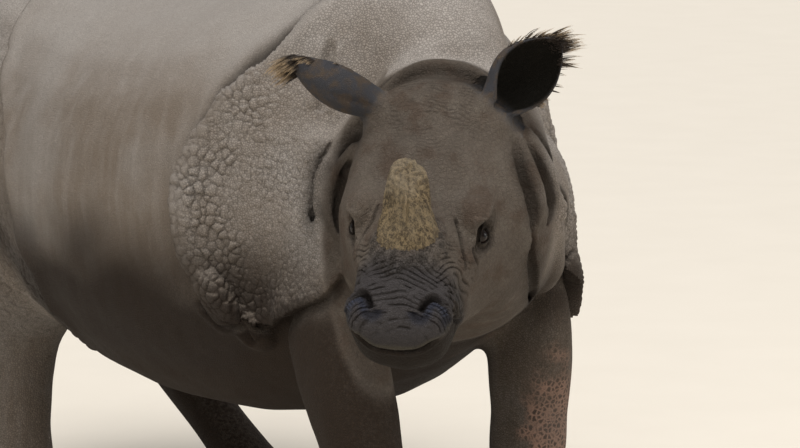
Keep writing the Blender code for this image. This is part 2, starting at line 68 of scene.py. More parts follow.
SIDES = {"left": 1, "right": -1}
LEGS = [fore + side for fore in ("foreleg_", "hindleg_") for side in SIDES]
FEET = [leg.replace("leg", "foot") for leg in LEGS]
FLESH = ["head", "neck", "trunk", "tail", "ear_left", "ear_right"] + LEGS + FEET


def middle(node):
    low, high = (Vector(corner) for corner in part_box(node))
    return (low + high) / 2


POLL = ((middle("eye_left") + middle("eye_right")) / 2
        - HEAD_TURN @ Vector((0, -EYE_ALONG, EYE_ABOVE)))
SLIDE = POLL.y - POLL_FROM_TRUNK    # from the trunk's own y to the frame's


def on_head(left, along, above):
    """A place on the head: to its left, down the face from the poll, above the face line."""
    return POLL + HEAD_TURN @ Vector((left, -along, above))


# ---------------------------------------------------------------------------------------------
# Camera, light and floor
# ---------------------------------------------------------------------------------------------
CAMERA_TURN, CAMERA_DOWN = math.radians(-31), math.radians(8)
CAMERA_AWAY = 8.0
CAMERA_LENS = 160
AIM = Vector((-0.228, -0.213, -0.285))      # what it looks at, from the poll


def look_from(turn, down):
    """The way that a camera looks at this turn round the animal and this far down."""
    return Vector((-math.sin(turn) * math.cos(down), math.cos(turn) * math.cos(down), -math.sin(down)))


def add_camera():
    lens = bpy.data.cameras.new("camera")
    lens.lens = CAMERA_LENS
    lens.clip_end = 300
    holder = bpy.data.objects.new("camera", lens)
    way = look_from(CAMERA_TURN, CAMERA_DOWN)
    holder.location = POLL + AIM - way * CAMERA_AWAY
    holder.rotation_euler = way.to_track_quat("-Z", "Y").to_euler()
    bpy.context.scene.collection.objects.link(holder)
    bpy.context.scene.camera = holder


def add_lamp(name, place, aim, size, power, colour):
    lamp = bpy.data.lights.new(name, "AREA")
    lamp.shape = "DISK"
    lamp.size = size
    lamp.energy = power
    lamp.color = colour
    holder = bpy.data.objects.new(name, lamp)
    holder.location = place
    holder.rotation_euler = (Vector(aim) - Vector(place)).to_track_quat("-Z", "Y").to_euler()
    bpy.context.scene.collection.objects.link(holder)


def add_light():
    """A broad sun high over the back, weak lamps before the face and at its left, and a pale room."""
    sun = bpy.data.lights.new("overhead", "SUN")
    sun.energy = 2.75
    sun.angle = math.radians(50)
    sun.color = (1.0, 0.97, 0.92)
    holder = bpy.data.objects.new("overhead", sun)
    holder.rotation_euler = Vector((0.30, 0.22, -1.0)).to_track_quat("-Z", "Y").to_euler()
    bpy.context.scene.collection.objects.link(holder)
    add_lamp("before_face", (-4.5, -5.5, 4.4), (-0.2, -1.0, 1.0), 3.0, 60, (1.0, 0.96, 0.92))
    add_lamp("at_its_left", (5.0, -4.6, 3.0), (0.2, -1.0, 0.9), 3.0, 108, (1.0, 0.95, 0.88))
    world = bpy.data.worlds.new("pale_room")
    bpy.context.scene.world = world
    world.use_nodes = True
    air = world.node_tree.nodes["Background"]
    air.inputs["Color"].default_value = (0.93, 0.93, 0.95, 1)
    air.inputs["Strength"].default_value = 0.33
    bpy.context.scene.view_settings.view_transform = "Standard"


def add_floor():
    mesh = bpy.data.meshes.new("floor")
    half = 60
    corners = [(-half, -half, 0), (half, -half, 0), (half, half, 0), (-half, half, 0)]
    mesh.from_pydata(corners, [], [(0, 1, 2, 3)])
    floor = bpy.data.objects.new("floor", mesh)
    bpy.context.scene.collection.objects.link(floor)
    mesh.materials.append(paint_floor())


# ---------------------------------------------------------------------------------------------
# Curves and forms
# ---------------------------------------------------------------------------------------------
def eased(rows, steps):
    """Rows of numbers with a smooth curve's rows between each two."""
    rows = [np.array(row, float) for row in rows]
    made = []
    last = len(rows) - 1
    for i in range(last):
        p, q, r, s = rows[max(i - 1, 0)], rows[i], rows[i + 1], rows[min(i + 2, last)]
        for k in range(steps):
            t = k / steps
            made.append(0.5 * (2 * q + (r - p) * t + (2 * p - 5 * q + 4 * r - s) * t * t
                               + (3 * q - p - 3 * r + s) * t ** 3))
    made.append(rows[-1])
    return [row.tolist() for row in made]


class Form:
    """Closed shapes gathered as one list of points and faces."""

    def __init__(self):
        self.points = []
        self.faces = []

    def add(self, points, faces):
        first = len(self.points)
        self.points += [tuple(p) for p in points]
        self.faces += [tuple(first + i for i in face) for face in faces]

    def node(self, name):
        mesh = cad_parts[name].data
        self.add([v.co for v in mesh.vertices], [p.vertices[:] for p in mesh.polygons])

    def rings(self, rings, closed_ends=True):
        """A skin over rings of equal count."""
        count = len(rings[0])
        faces = []
        for k in range(len(rings) - 1):
            for i in range(count):
                j = (i + 1) % count
                faces.append((k * count + i, k * count + j, (k + 1) * count + j, (k + 1) * count + i))
        if closed_ends:
            faces.append(tuple(range(count))[::-1])
            faces.append(tuple((len(rings) - 1) * count + i for i in range(count)))
        self.add([p for ring in rings for p in ring], faces)

    def roll(self, rows, sides=12, steps=5):
        """A round bar along places with a radius each, with round ends."""
        rows = eased(rows, steps)
        path = [Vector(row[:3]) for row in rows]
        rings = []
        across = None
        for i, (here, row) in enumerate(zip(path, rows)):
            ahead = (path[min(i + 1, len(path) - 1)] - path[max(i - 1, 0)]).normalized()
            across = across or ahead.orthogonal()
            across = (across - ahead * across.dot(ahead)).normalized()
            up = ahead.cross(across)
            rings.append([here + row[3] * (across * math.cos(t) + up * math.sin(t))
                          for t in (2 * math.pi * k / sides for k in range(sides))])
        self.rings(rings)
        for end, radius in ((path[0], rows[0][3]), (path[-1], rows[-1][3])):
            self.ball(end, (radius * 0.98,) * 3)

    def ball(self, centre, radii, turn=None, segments=20):
        turn = turn or Matrix.Identity(3)
        rings = []
        for k in range(1, segments // 2):
            low = math.pi * k / (segments // 2)
            rings.append([Vector(centre) + turn @ Vector((
                radii[0] * math.sin(low) * math.cos(t), radii[1] * math.sin(low) * math.sin(t),
                radii[2] * math.cos(low))) for t in (2 * math.pi * i / segments for i in range(segments))])
        self.rings(rings[::-1])

    def mesh(self, name):
        made = bpy.data.meshes.new(name)
        made.from_pydata(self.points, [], self.faces)
        work = bmesh.new()
        work.from_mesh(made)
        bmesh.ops.recalc_face_normals(work, faces=work.faces)
        work.to_mesh(made)
        work.free()
        made.update()
        return made


def show(name, mesh, *materials):
    made = bpy.data.objects.new(name, mesh)
    bpy.context.scene.collection.objects.link(made)
    mesh.materials.clear()
    for material in materials:
        mesh.materials.append(material)
    mesh.shade_smooth()
    return made


def applied(shape):
    """The object's mesh with its modifiers applied; the object goes."""
    graph = bpy.context.evaluated_depsgraph_get()
    mesh = bpy.data.meshes.new_from_object(shape.evaluated_get(graph))
    bpy.data.objects.remove(shape)
    return mesh


def places(mesh):
    points = np.empty(len(mesh.vertices) * 3)
    mesh.vertices.foreach_get("co", points)
    return points.reshape(-1, 3)


def normals(mesh):
    out = np.empty(len(mesh.vertices) * 3, np.float32)
    mesh.vertex_normals.foreach_get("vector", out)
    return out.reshape(-1, 3).astype(float)


def put(mesh, points):
    mesh.vertices.foreach_set("co", points.astype(np.float32).ravel())
    mesh.update()


def note(mesh, name, values):
    """Writes a number for each point, which the materials read."""
    layer = mesh.attributes.get(name) or mesh.attributes.new(name, "FLOAT", "POINT")
    layer.data.foreach_set("value", values.astype(np.float32))


# ---------------------------------------------------------------------------------------------
# Numbers over many points at once
# ---------------------------------------------------------------------------------------------
def ramp(low, high, values):
    t = np.clip((values - low) / (high - low), 0, 1)
    return t * t * (3 - 2 * t)


def bell(distance, width):
    return np.exp(-(distance / width) ** 2)


def wander(points, size, seed, octaves=2):
    """Smooth random numbers from about -1 to 1, in lumps of this size."""
    dice = np.random.default_rng(seed)
    total = np.zeros(len(points))
    for k in range(octaves):
        for _ in range(7):
            way = dice.normal(size=3)
            way *= 2 ** k * math.pi / (size * np.linalg.norm(way)) * dice.uniform(0.6, 1.3)
            total += np.sin(points @ way + dice.uniform(0, 2 * math.pi)) / (2.2 * 2 ** k)
    return total / 1.6


def to_path(points, path):
    """For each point its nearest place on the path: distance, share along, and the way there."""
    path = np.array(path, float)
    nearest = np.full(len(points), 9.0)
    share = np.zeros(len(points))
    foot = np.zeros_like(points)
    for i in range(len(path) - 1):
        a, b = path[i], path[i + 1]
        span = b - a
        t = np.clip((points - a) @ span / max(span @ span, 1e-12), 0, 1)
        on = a + t[:, None] * span
        gap = np.linalg.norm(points - on, axis=1)
        closer = gap < nearest
        nearest[closer] = gap[closer]
        share[closer] = (i + t[closer]) / (len(path) - 1)
        foot[closer] = on[closer]
    return nearest, share, foot


# ---------------------------------------------------------------------------------------------
# The skin's forms: what the solids of flesh leave to the skin
# ---------------------------------------------------------------------------------------------
# Rolls of hide behind the head: left, along, above and thickness.
NAPE_ROLL = (
    (-0.160, -0.040, -0.160, 0.012), (-0.120, -0.068, -0.094, 0.017), (-0.060, -0.083, -0.052, 0.019),
    (0.000, -0.085, -0.041, 0.020), (0.060, -0.081, -0.051, 0.019), (0.110, -0.064, -0.088, 0.017),
    (0.150, -0.036, -0.150, 0.012),
)
LEFT_ROLLS = (
    ((0.190, 0.060, -0.100, 0.012), (0.222, 0.122, -0.140, 0.017), (0.240, 0.152, -0.176, 0.019),
     (0.246, 0.182, -0.206, 0.019), (0.234, 0.216, -0.232, 0.014)),
    ((0.200, 0.020, -0.130, 0.014), (0.240, 0.064, -0.170, 0.020), (0.268, 0.084, -0.232, 0.023),
     (0.276, 0.104, -0.290, 0.023), (0.262, 0.140, -0.300, 0.016)),
    ((0.262, 0.140, -0.315, 0.020), (0.262, 0.128, -0.390, 0.026), (0.248, 0.110, -0.490, 0.030),
     (0.222, 0.070, -0.610, 0.032), (0.195, 0.040, -0.700, 0.026)),
)
RIGHT_ROLLS = (
    ((-0.175, 0.005, -0.115, 0.014), (-0.214, 0.010, -0.160, 0.019), (-0.248, 0.036, -0.196, 0.020),
     (-0.236, 0.070, -0.202, 0.013)),
    ((-0.256, 0.048, -0.208, 0.016), (-0.282, 0.094, -0.244, 0.020), (-0.288, 0.140, -0.286, 0.018),
     (-0.276, 0.165, -0.310, 0.013)),
    ((-0.190, 0.100, -0.130, 0.014), (-0.236, 0.100, -0.214, 0.019), (-0.260, 0.128, -0.258, 0.021),
     (-0.252, 0.170, -0.290, 0.019), (-0.228, 0.215, -0.308, 0.014)),
    ((-0.262, 0.160, -0.330, 0.018), (-0.258, 0.140, -0.420, 0.024), (-0.236, 0.110, -0.520, 0.026)),
)
# The deep grooves between those rolls, and under the nape's: left, along, above and half width.
GROOVES = (
    ((-0.150, -0.040, -0.095, 0.006), (-0.100, -0.050, -0.042, 0.010), (-0.050, -0.054, -0.014, 0.011),
     (0.000, -0.055, -0.006, 0.011), (0.050, -0.054, -0.014, 0.011), (0.100, -0.046, -0.046, 0.010),
     (0.145, -0.020, -0.095, 0.006)),
    ((0.186, 0.080, -0.090, 0.006), (0.212, 0.150, -0.122, 0.010), (0.228, 0.184, -0.156, 0.014),
     (0.236, 0.208, -0.190, 0.014), (0.238, 0.240, -0.236, 0.007)),
    ((0.208, 0.055, -0.118, 0.006), (0.246, 0.102, -0.168, 0.011), (0.262, 0.124, -0.212, 0.016),
     (0.266, 0.144, -0.250, 0.017), (0.256, 0.180, -0.262, 0.009)),
    ((0.240, 0.235, -0.240, 0.006), (0.236, 0.262, -0.300, 0.011), (0.228, 0.240, -0.430, 0.012),
     (0.206, 0.190, -0.540, 0.010), (0.150, 0.130, -0.610, 0.006)),
    ((0.200, -0.010, -0.120, 0.006), (0.258, 0.016, -0.205, 0.010), (0.284, 0.034, -0.290, 0.012),
     (0.282, 0.040, -0.380, 0.012), (0.264, 0.016, -0.520, 0.012), (0.238, -0.010, -0.670, 0.008)),
    ((-0.165, 0.050, -0.080, 0.006), (-0.205, 0.056, -0.155, 0.012), (-0.222, 0.080, -0.190, 0.012),
     (-0.222, 0.112, -0.215, 0.006)),
    ((-0.198, 0.120, -0.160, 0.006), (-0.216, 0.126, -0.206, 0.013), (-0.226, 0.156, -0.258, 0.016),
     (-0.224, 0.196, -0.292, 0.014), (-0.206, 0.235, -0.300, 0.006)),
    ((-0.246, 0.060, -0.208, 0.006), (-0.268, 0.100, -0.246, 0.010), (-0.274, 0.142, -0.284, 0.011),
     (-0.262, 0.190, -0.312, 0.007)),
    ((-0.268, 0.020, -0.190, 0.006), (-0.300, 0.080, -0.240, 0.009), (-0.308, 0.140, -0.290, 0.010),
     (-0.290, 0.170, -0.380, 0.010), (-0.266, 0.130, -0.520, 0.007)),
    ((-0.236, 0.220, -0.320, 0.006), (-0.236, 0.220, -0.400, 0.010), (-0.214, 0.190, -0.500, 0.010),
     (-0.150, 0.130, -0.600, 0.006)),
)
# Rounded masses on the head: left, along, above, and radii. The paired ones stand on both sides.
HEAD_MASSES = (
    ((0.000, 0.455, -0.062), (0.078, 0.098, 0.060)),
)
PAIRED_MASSES = (
    ((0.134, 0.335, -0.134), (0.028, 0.034, 0.026)),
    ((0.118, 0.046, -0.074), (0.052, 0.056, 0.052)),
    ((0.086, 0.598, -0.092), (0.036, 0.046, 0.042)),
)
# Lappets that hang at the shoulder shield's lower edge: y, turn from the back, lift off the hide, radii.
LAPPETS = (
    (-0.540, 118, -0.016, (0.036, 0.060, 0.085)), (-0.560, 131, -0.020, (0.046, 0.075, 0.070)),
    (-0.640, 127, -0.014, (0.032, 0.040, 0.044)),
)


def solid_tree(node):
    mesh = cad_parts[node].data
    return BVHTree.FromPolygons([v.co for v in mesh.vertices], [p.vertices[:] for p in mesh.polygons])


TRUNK = solid_tree("trunk")


def outward(turn):
    """The way out from the trunk's axis: turn is 0 on the back, 90 at the left, 180 on the belly."""
    angle = math.radians(turn)
    return Vector((math.sin(angle), 0, math.cos(angle)))


def on_side(y, turn, lift=0.0, skin=None):
    """A place on the trunk or the skin, this far off it."""
    out = outward(turn)
    axis = Vector((0, y + SLIDE, TRUNK_AXIS))
    hit, *_ = (skin or TRUNK).ray_cast(axis + out * 2, -out)
    return (hit or axis + out * 0.45) + out * lift


def remeshed(mesh, size):
    """The mesh as one closed skin of even squares."""
    shape = show("hide", mesh)
    change = shape.modifiers.new("one_skin", "REMESH")
    change.mode = "VOXEL"
    change.voxel_size = size
    return applied(shape)


def rolls_on_head(rolls, swell=1.0):
    form = Form()
    for rows in rolls:
        form.roll([(*on_head(*row[:3]), row[3] * swell) for row in rows])
    return form


def base_skin():
    """One smooth skin over the solids of flesh, without their facets."""
    form = Form()
    for name in FLESH:
        if not name.startswith("ear"):
            form.node(name)
    for place, radii in HEAD_MASSES:
        form.ball(on_head(*place), radii, HEAD_TURN)
    for side in (1, -1):
        for (left, along, above), radii in PAIRED_MASSES:
            form.ball(on_head(side * left, along, above), radii, HEAD_TURN)
    mesh = remeshed(form.mesh("hide"), COARSE)
    settle_hide(mesh)
    return mesh


def folded_skin():
    """The smooth skin with its rolls and lappets added and the grooves between them cut."""
    form = rolls_on_head((NAPE_ROLL, *LEFT_ROLLS, *RIGHT_ROLLS), 1.22)
    mesh = base_skin()
    form.add(places(mesh), [p.vertices[:] for p in mesh.polygons])
    for side in (-1, 1):
        for y, turn, lift, radii in LAPPETS:
            out = outward(side * turn)
            flat = Matrix((out, (0, 1, 0), out.cross(Vector((0, 1, 0))))).transposed()
            form.ball(on_side(y, side * turn, lift), radii, flat)
    hide = show("hide", remeshed(form.mesh("hide"), FINE))
    cutter = show("grooves", remeshed(rolls_on_head(GROOVES, 1.42).mesh("grooves"), 0.003))
    cut = hide.modifiers.new("cut", "BOOLEAN")
    cut.solver = "MANIFOLD"
    cut.operation = "DIFFERENCE"
    cut.object = cutter
    mesh = applied(hide)
    bpy.data.objects.remove(cutter)
    mesh = remeshed(mesh, FINE)
    settle(mesh, 2, 0.5)
    return mesh


def edge_ends(mesh):
    ends = np.empty(len(mesh.edges) * 2, np.int32)
    mesh.edges.foreach_get("vertices", ends)
    return ends.reshape(-1, 2)


def neighbour_sum(edges, values, count):
    ends = np.concatenate((edges[:, 0], edges[:, 1]))
    others = np.concatenate((edges[:, 1], edges[:, 0]))
    return np.stack([np.bincount(ends, values[others, k], count) for k in range(values.shape[1])], 1)


def relaxed(edges, values, rounds, rate):
    """The values after so many rounds of moving each towards the middle of its neighbours."""
    count = len(values)
    degree = np.maximum(np.bincount(edges.ravel(), minlength=count), 1)[:, None]
    for _ in range(rounds):
        values = values + rate * (neighbour_sum(edges, values, count) / degree - values)
    return values


def settle(mesh, rounds, rate):
    """Takes the facets out of the skin without shrinking its broad forms."""
    edges = edge_ends(mesh)
    points = places(mesh)
    moved = relaxed(edges, points, rounds, rate)
    put(mesh, moved - relaxed(edges, moved - points, rounds, rate))


def refine(mesh, chosen):
    """Divides the faces whose points are all chosen."""
    work = bmesh.new()
    work.from_mesh(mesh)
    picked = [f for f in work.faces if all(chosen[v.index] for v in f.verts)]
    edges = list({e for f in picked for e in f.edges})
    bmesh.ops.subdivide_edges(work, edges=edges, cuts=1, use_grid_fill=True)
    work.to_mesh(mesh)
    work.free()
    mesh.update()


def to_head(points):
    """Points in the head's own axes: left, along, above."""
    own = (points - np.array(POLL)) @ np.array(HEAD_TURN)
    own[:, 1] *= -1
    return own


def out_of_head(head, radii, along=0.25):
    """How far each point lies out of a rounded form with these radii, round the head's middle."""
    return np.linalg.norm((head - (0, along, -0.25)) / radii, axis=1)


def to_trunk(points):
    """Points as the trunk's y, its turn from the back in degrees, and their height."""
    turn = np.degrees(np.arctan2(points[:, 0], points[:, 2] - TRUNK_AXIS))
    return points[:, 1] - SLIDE, turn, points[:, 2]


# Great folds' edges on the trunk: y and turn from the back.
SHOULDER_EDGE = (
    (-0.75, 4), (-0.735, 16), (-0.68, 38), (-0.61, 53), (-0.555, 66), (-0.515, 82), (-0.505, 98),
    (-0.52, 112), (-0.55, 124),
)
FLANK_EDGE = (
    (0.68, 4), (0.655, 18), (0.58, 42), (0.49, 66), (0.36, 79), (0.28, 92), (0.235, 106),
    (0.21, 118), (0.23, 136),
)
RUMP_EDGE = ((1.34, 74), (1.22, 80), (1.06, 87), (0.90, 93), (0.74, 99), (0.58, 104))
HEM = ((-0.560, 121), (-0.640, 128), (-0.720, 125), (-0.820, 121), (-0.915, 117), (-0.965, 110))
LEFT_HEM = ((-0.560, 121), (-0.640, 128), (-0.720, 129), (-0.820, 128), (-0.900, 127), (-0.950, 122),
            (-0.985, 110))
THIGH_FOLD = ((0.52, 128), (0.70, 124), (0.88, 124), (1.04, 128), (1.16, 134))
GROIN_FOLD = ((0.16, 132), (0.24, 124), (0.36, 121), (0.48, 124))
# Folds that cross the back: edge, height and reach of the proud side, depth and reach of the other, overlap.
BACK_FOLDS = (
    (SHOULDER_EDGE, 0.024, 0.110, 0.028, 0.042, 0.020),
    (FLANK_EDGE, 0.026, 0.130, 0.036, 0.055, 0.030),
)
# The same on each side alone, after the way that the proud side faces.
SIDE_FOLDS = (
    (RUMP_EDGE, (0, 0, 1), 0.018, 0.100, 0.018, 0.050, 0.012),
    (HEM, (0, 0, 1), 0.022, 0.070, 0.034, 0.060, 0.016),
    (THIGH_FOLD, (0, 0, 1), 0.016, 0.080, 0.016, 0.050, 0.012),
    (GROIN_FOLD, (0, 0, 1), 0.010, 0.060, 0.012, 0.040, 0.010),
)


class Sculpt:
    """Works on a skin's points: forms are pressed in or raised along the skin's own way out."""

    def __init__(self, mesh):
        self.mesh = mesh
        self.points = places(mesh)
        self.out = normals(mesh)
        self.measure()
        self.depth = np.zeros(len(self.points))     # how far a point lies in a crease: how dark it is painted there as shade
        self.studs = np.zeros(len(self.points))
        self.blue = np.zeros(len(self.points))      # the nostrils' lining
        self.dark = np.zeros(len(self.points))      # the dark hide round the eyes and at the horn's foot, and painted shade round the eyes and in the neck's folds

    def measure(self):
        self.head = to_head(self.points)
        self.y, self.turn, self.z = to_trunk(self.points)

    def renew(self):
        put(self.mesh, self.points)
        self.out = normals(self.mesh)
        self.measure()

    def lift(self, amount, where=None):
        if where is None:
            self.points += self.out * amount[:, None]
        else:
            self.points[where] += self.out[where] * amount[:, None]

    def near(self, path, reach):
        """The points within reach of the path's box."""
        path = np.array(path, float)
        low, high = path.min(0) - reach, path.max(0) + reach
        return np.flatnonzero(((self.points > low) & (self.points < high)).all(1))

    def crease(self, path, depth, width, rim=0.0, stain_and_shade=1.0, wobble=0.0):
        """A groove along the path, its lips raised by the rim; it fades at both ends."""
        reach = width * 4
        where = self.near(path, reach)
        spots = self.points[where]
        if wobble:
            spots = spots + np.stack([wander(spots, 0.05, 5 + k) for k in range(3)], 1) * wobble
        gap, share, _ = to_path(spots, path)
        fade = ramp(0, 0.12, share) * ramp(0, 0.12, 1 - share)
        self.lift(fade * (rim * bell(gap - width * 1.7, width) - depth * bell(gap, width)), where)
        # Painted shade along the groove's bottom.
        self.depth[where] = np.maximum(self.depth[where], stain_and_shade * fade * bell(gap, width * 1.3))

    def fold(self, path, proud, raised, reach, sunk, hollow, lean=0.0, stain_and_shade=0.75):
        """A fold's edge along the path: the side that faces proud stands out and laps over the other."""
        where = self.near(path, max(reach, hollow) * 2.4)
        spots = self.points[where]
        shifted = spots + np.stack([wander(spots, 0.11, 81 + k) for k in range(3)], 1) * 0.009
        gap, share, foot = to_path(shifted, path)
        fade = ramp(0, 0.14, share) * ramp(0, 0.14, 1 - share)
        fade = fade * (0.75 + 0.35 * wander(spots, 0.25, 84))
        proud = np.array(proud, float)
        signed = gap * np.sign((shifted - foot) @ proud)
        soft = 0.006
        over = ramp(-soft, soft, signed)
        lip = 0.65 * bell(signed, reach) + 0.35 * bell(signed - 0.018, 0.024)
        trough = 0.45 * bell(signed, hollow) + 0.55 * bell(signed + 0.006, hollow * 0.40)
        self.lift(fade * (over * raised * lip - (1 - over) * sunk * trough), where)
        if lean:
            push = fade * over * bell(signed, reach * 0.4) * lean
            self.points[where] -= proud * push[:, None]
        # Painted shade under the proud side's lip and in the trough behind it.
        trough_shade = fade * np.maximum(bell(signed + 0.008, 0.013), (1 - over) * 0.35 * bell(signed, hollow))
        self.depth[where] = np.maximum(self.depth[where], stain_and_shade * trough_shade)


# Lone creases in the hide: y and turn, depth and half width.
SINGLE_CREASES = (
    (((-0.760, 32), (-0.785, 43), (-0.790, 50), (-0.792, 53)), 0.012, 0.013),
    (((0.30, 100), (0.24, 116), (0.22, 130)), 0.008, 0.010),
    (((-0.47, 118), (-0.52, 126), (-0.575, 127), (-0.60, 134)), 0.020, 0.013),
)


def mirrored(path, side):
    return [(y, turn * side) for y, turn in path]


def laid(path, skin):
    """The path's places on the skin, with a smooth curve between them."""
    return [on_side(y, turn, 0.0, skin) for y, turn in eased(path, 4)]


# Broad hollows in the body: y, turn, their half widths, depth, and side: 1 left, -1 right, 0 both.
HOLLOWS = (
    (-0.90, 40, 0.30, 25, 0.125, 1), (-0.92, 36, 0.24, 22, 0.060, -1), (-0.94, 104, 0.15, 32, 0.016, 1),
    (-0.91, 133, 0.10, 12, 0.020, 1), (-0.30, 120, 0.26, 18, 0.012, 0),
    (0.42, 96, 0.16, 30, 0.014, 0), (0.05, 60, 0.10, 26, 0.006, 0), (-0.22, 62, 0.09, 28, 0.006, 0),
)


def shape_trunk(work):
    """The shields' edges, the hems over the legs, and the shallow hollows of flank and ribs."""
    from_head = out_of_head(work.head, (0.27, 0.46, 0.36))
    off_head = ramp(1.0, 1.25, from_head)
    for y, turn, half_y, half_turn, depth, side in HOLLOWS:
        own_turn = work.turn * side if side else np.abs(work.turn)
        amount = depth * bell(work.y - y, half_y) * bell(own_turn - turn, half_turn) * off_head
        angle = np.radians(work.turn)
        work.points[:, 0] -= amount * np.sin(angle)
        work.points[:, 2] -= amount * np.cos(angle)
    stretched = work.points * (1, 1, 0.28)
    ribs = wander(stretched, 0.075, 17) + 0.6 * wander(stretched, 0.035, 18)
    on_trunk = ramp(0.45, 0.60, work.z) * off_head
    work.lift(on_trunk * 0.0010 * ribs)
    work.renew()
    skin = BVHTree.FromPolygons(work.points.tolist(), [p.vertices[:] for p in work.mesh.polygons])
    for edge, raised, reach, sunk, hollow, lean in BACK_FOLDS:
        line = laid(mirrored(edge, -1)[::-1] + list(edge), skin)
        work.fold(line, (0, -1, 0), raised, reach, sunk, hollow, lean)
    for side in (1, -1):
        for edge, proud, raised, reach, sunk, hollow, lean in SIDE_FOLDS:
            edge = LEFT_HEM if edge is HEM and side > 0 else edge
            work.fold(laid(mirrored(edge, side), skin), proud, raised, reach, sunk, hollow, lean, 0.5)
        for path, depth, width in SINGLE_CREASES:
            work.crease(laid(mirrored(path, side), skin), depth, width, depth * 0.35, 0.14, 0.004)
    shade_grooves(work)
    work.renew()


def shade_grooves(work):
    """Painted shade in and beside the grooves between the neck's rolls, and a painted shadow in a rim round
    the nape's roll.
    """
    for rows in GROOVES:
        rows = eased(rows, 4)
        path = [on_head(*row[:3]) for row in rows]
        where = work.near(path, 0.08)
        gap, share, _ = to_path(work.points[where], path)
        fade = ramp(0, 0.24, share) * ramp(0, 0.28, 1 - share)
        work.depth[where] = np.maximum(work.depth[where], fade * bell(gap, 0.013))
        work.dark[where] = np.maximum(work.dark[where], fade * bell(gap, 0.032))
    path = [on_head(*row[:3]) for row in eased(NAPE_ROLL, 4)]
    where = work.near(path, 0.08)
    gap, _, _ = to_path(work.points[where], path)
    work.dark[where] = np.maximum(work.dark[where], 0.75 * bell(gap - 0.028, 0.005))


def settle_hide(mesh):
    """Broad hide is smoothed most, the head and legs less."""
    points = places(mesh)
    head = to_head(points)
    from_head = out_of_head(head, (0.30, 0.52, 0.42))
    legs = ramp(0.70, 0.50, points[:, 2])
    rate = 0.5 * (0.30 + 0.70 * ramp(0.9, 1.4, from_head)) * (1 - 0.55 * legs)
    settle(mesh, 36, rate[:, None])


# ---------------------------------------------------------------------------------------------
# The face
# ---------------------------------------------------------------------------------------------
# The left nostril's slit and the left half of the mouth's line: left, along, above.
NOSTRIL = ((0.056, 0.622, -0.058), (0.066, 0.598, -0.048), (0.082, 0.583, -0.049), (0.100, 0.586, -0.062),
           (0.111, 0.604, -0.086))
MOUTH = ((-0.004, 0.668, -0.150), (0.052, 0.663, -0.142), (0.086, 0.648, -0.122), (0.107, 0.618, -0.112),
         (0.118, 0.570, -0.136), (0.121, 0.530, -0.170))
# The height of the mouth's line under the muzzle, from its middle out.
LIP_LINE = ((0.0, -0.150), *((left, above) for left, _, above in MOUTH[1:4]))
LID_RADIUS = EYE_RADIUS + 0.0035
WRINKLES_APART, CROWN_WRINKLES_APART = 0.0125, 0.0095   # from one to the next, on muzzle and crown


def eye_axes(side):
    """The eye's centre, its way out, and its opening's long and short axes."""
    centre = on_head(side * EYE_LEFT, EYE_ALONG, EYE_ABOVE)
    look = (HEAD_TURN @ Vector((side * EYE_LOOKS.x, EYE_LOOKS.y, EYE_LOOKS.z))).normalized()
    down_face = HEAD_TURN @ Vector((0, -1, -0.10))
    long_axis = (down_face - look * down_face.dot(look)).normalized()
    above = HEAD_TURN @ Vector((0, 0, 1))
    short_axis = (above - look * above.dot(look) - long_axis * above.dot(long_axis)).normalized()
    return centre, look, long_axis, short_axis


def shape_eye(work, side):
    """Lids that lie on the eyeball, open between them, with wrinkles round them and a brow above."""
    centre, look, long_axis, short_axis = (np.array(v) for v in eye_axes(side))
    where = np.flatnonzero(np.linalg.norm(work.points - centre, axis=1) < 0.12)
    away = work.points[where] - centre
    height = away @ look
    u, v = away @ long_axis, away @ short_axis
    off = np.hypot(u, v)
    almond = 1 - 0.42 * np.clip(u / EYE_OPENING[0], -1, 1) ** 2
    ring = np.hypot(u / EYE_OPENING[0], v / (EYE_OPENING[1] * almond))
    front = ramp(-0.03, 0.0, height)
    on_ball = np.sqrt(np.maximum(LID_RADIUS ** 2 - off ** 2, 0.000016))
    brow = 0.5 + 0.5 * v / np.maximum(off, 1e-6)
    lid = on_ball + 0.0010 * bell(ring - 1.2, 0.25) + 0.0045 * brow ** 2 * bell(ring - 1.25, 0.4)
    lid = lid + 0.0060 * brow * bell(ring - 2.0, 0.6)
    lid = np.where(ring < 1, np.sqrt(np.maximum(EYE_RADIUS ** 2 - off ** 2, 0)) - 0.008, lid)
    hold = (1 - ramp(0.021, 0.040, off)) * front
    fresh = height * (1 - hold) + lid * hold
    ripple = ramp(1.6, 2.0, ring) * (1 - ramp(2.8, 4.2, ring)) * front
    bend = ring + 0.55 * wander(work.points[where], 0.045, 3)
    broken = ramp(-0.5, 0.4, wander(work.points[where], 0.022, 4))
    wave = broken * (0.5 + 0.5 * np.cos(2 * math.pi * bend / 0.55)) ** 4
    fresh -= 0.0016 * ripple * wave
    above_lid = bell(ring - 2.35, 0.22) * ramp(-0.1, 0.5, v / np.maximum(off, 1e-6)) * front
    fresh += -0.0060 * above_lid + 0.0100 * brow * bell(ring - 3.4, 0.9) * front
    work.points[where] += np.outer(fresh - height, look)
    # Painted shade at the lids' edge, in the wrinkles round them and in the crease above the upper lid; the
    # dark hide round the eye is partly painted shade of lids and brow.
    stain_and_shade = np.maximum(bell(ring - 0.95, 0.20), 0.55 * ripple * wave + above_lid * 0.8) * front
    work.depth[where] = np.maximum(work.depth[where], stain_and_shade)
    work.dark[where] = np.maximum(work.dark[where], 0.75 * front * (1 - ramp(1.1, 3.8, ring)))


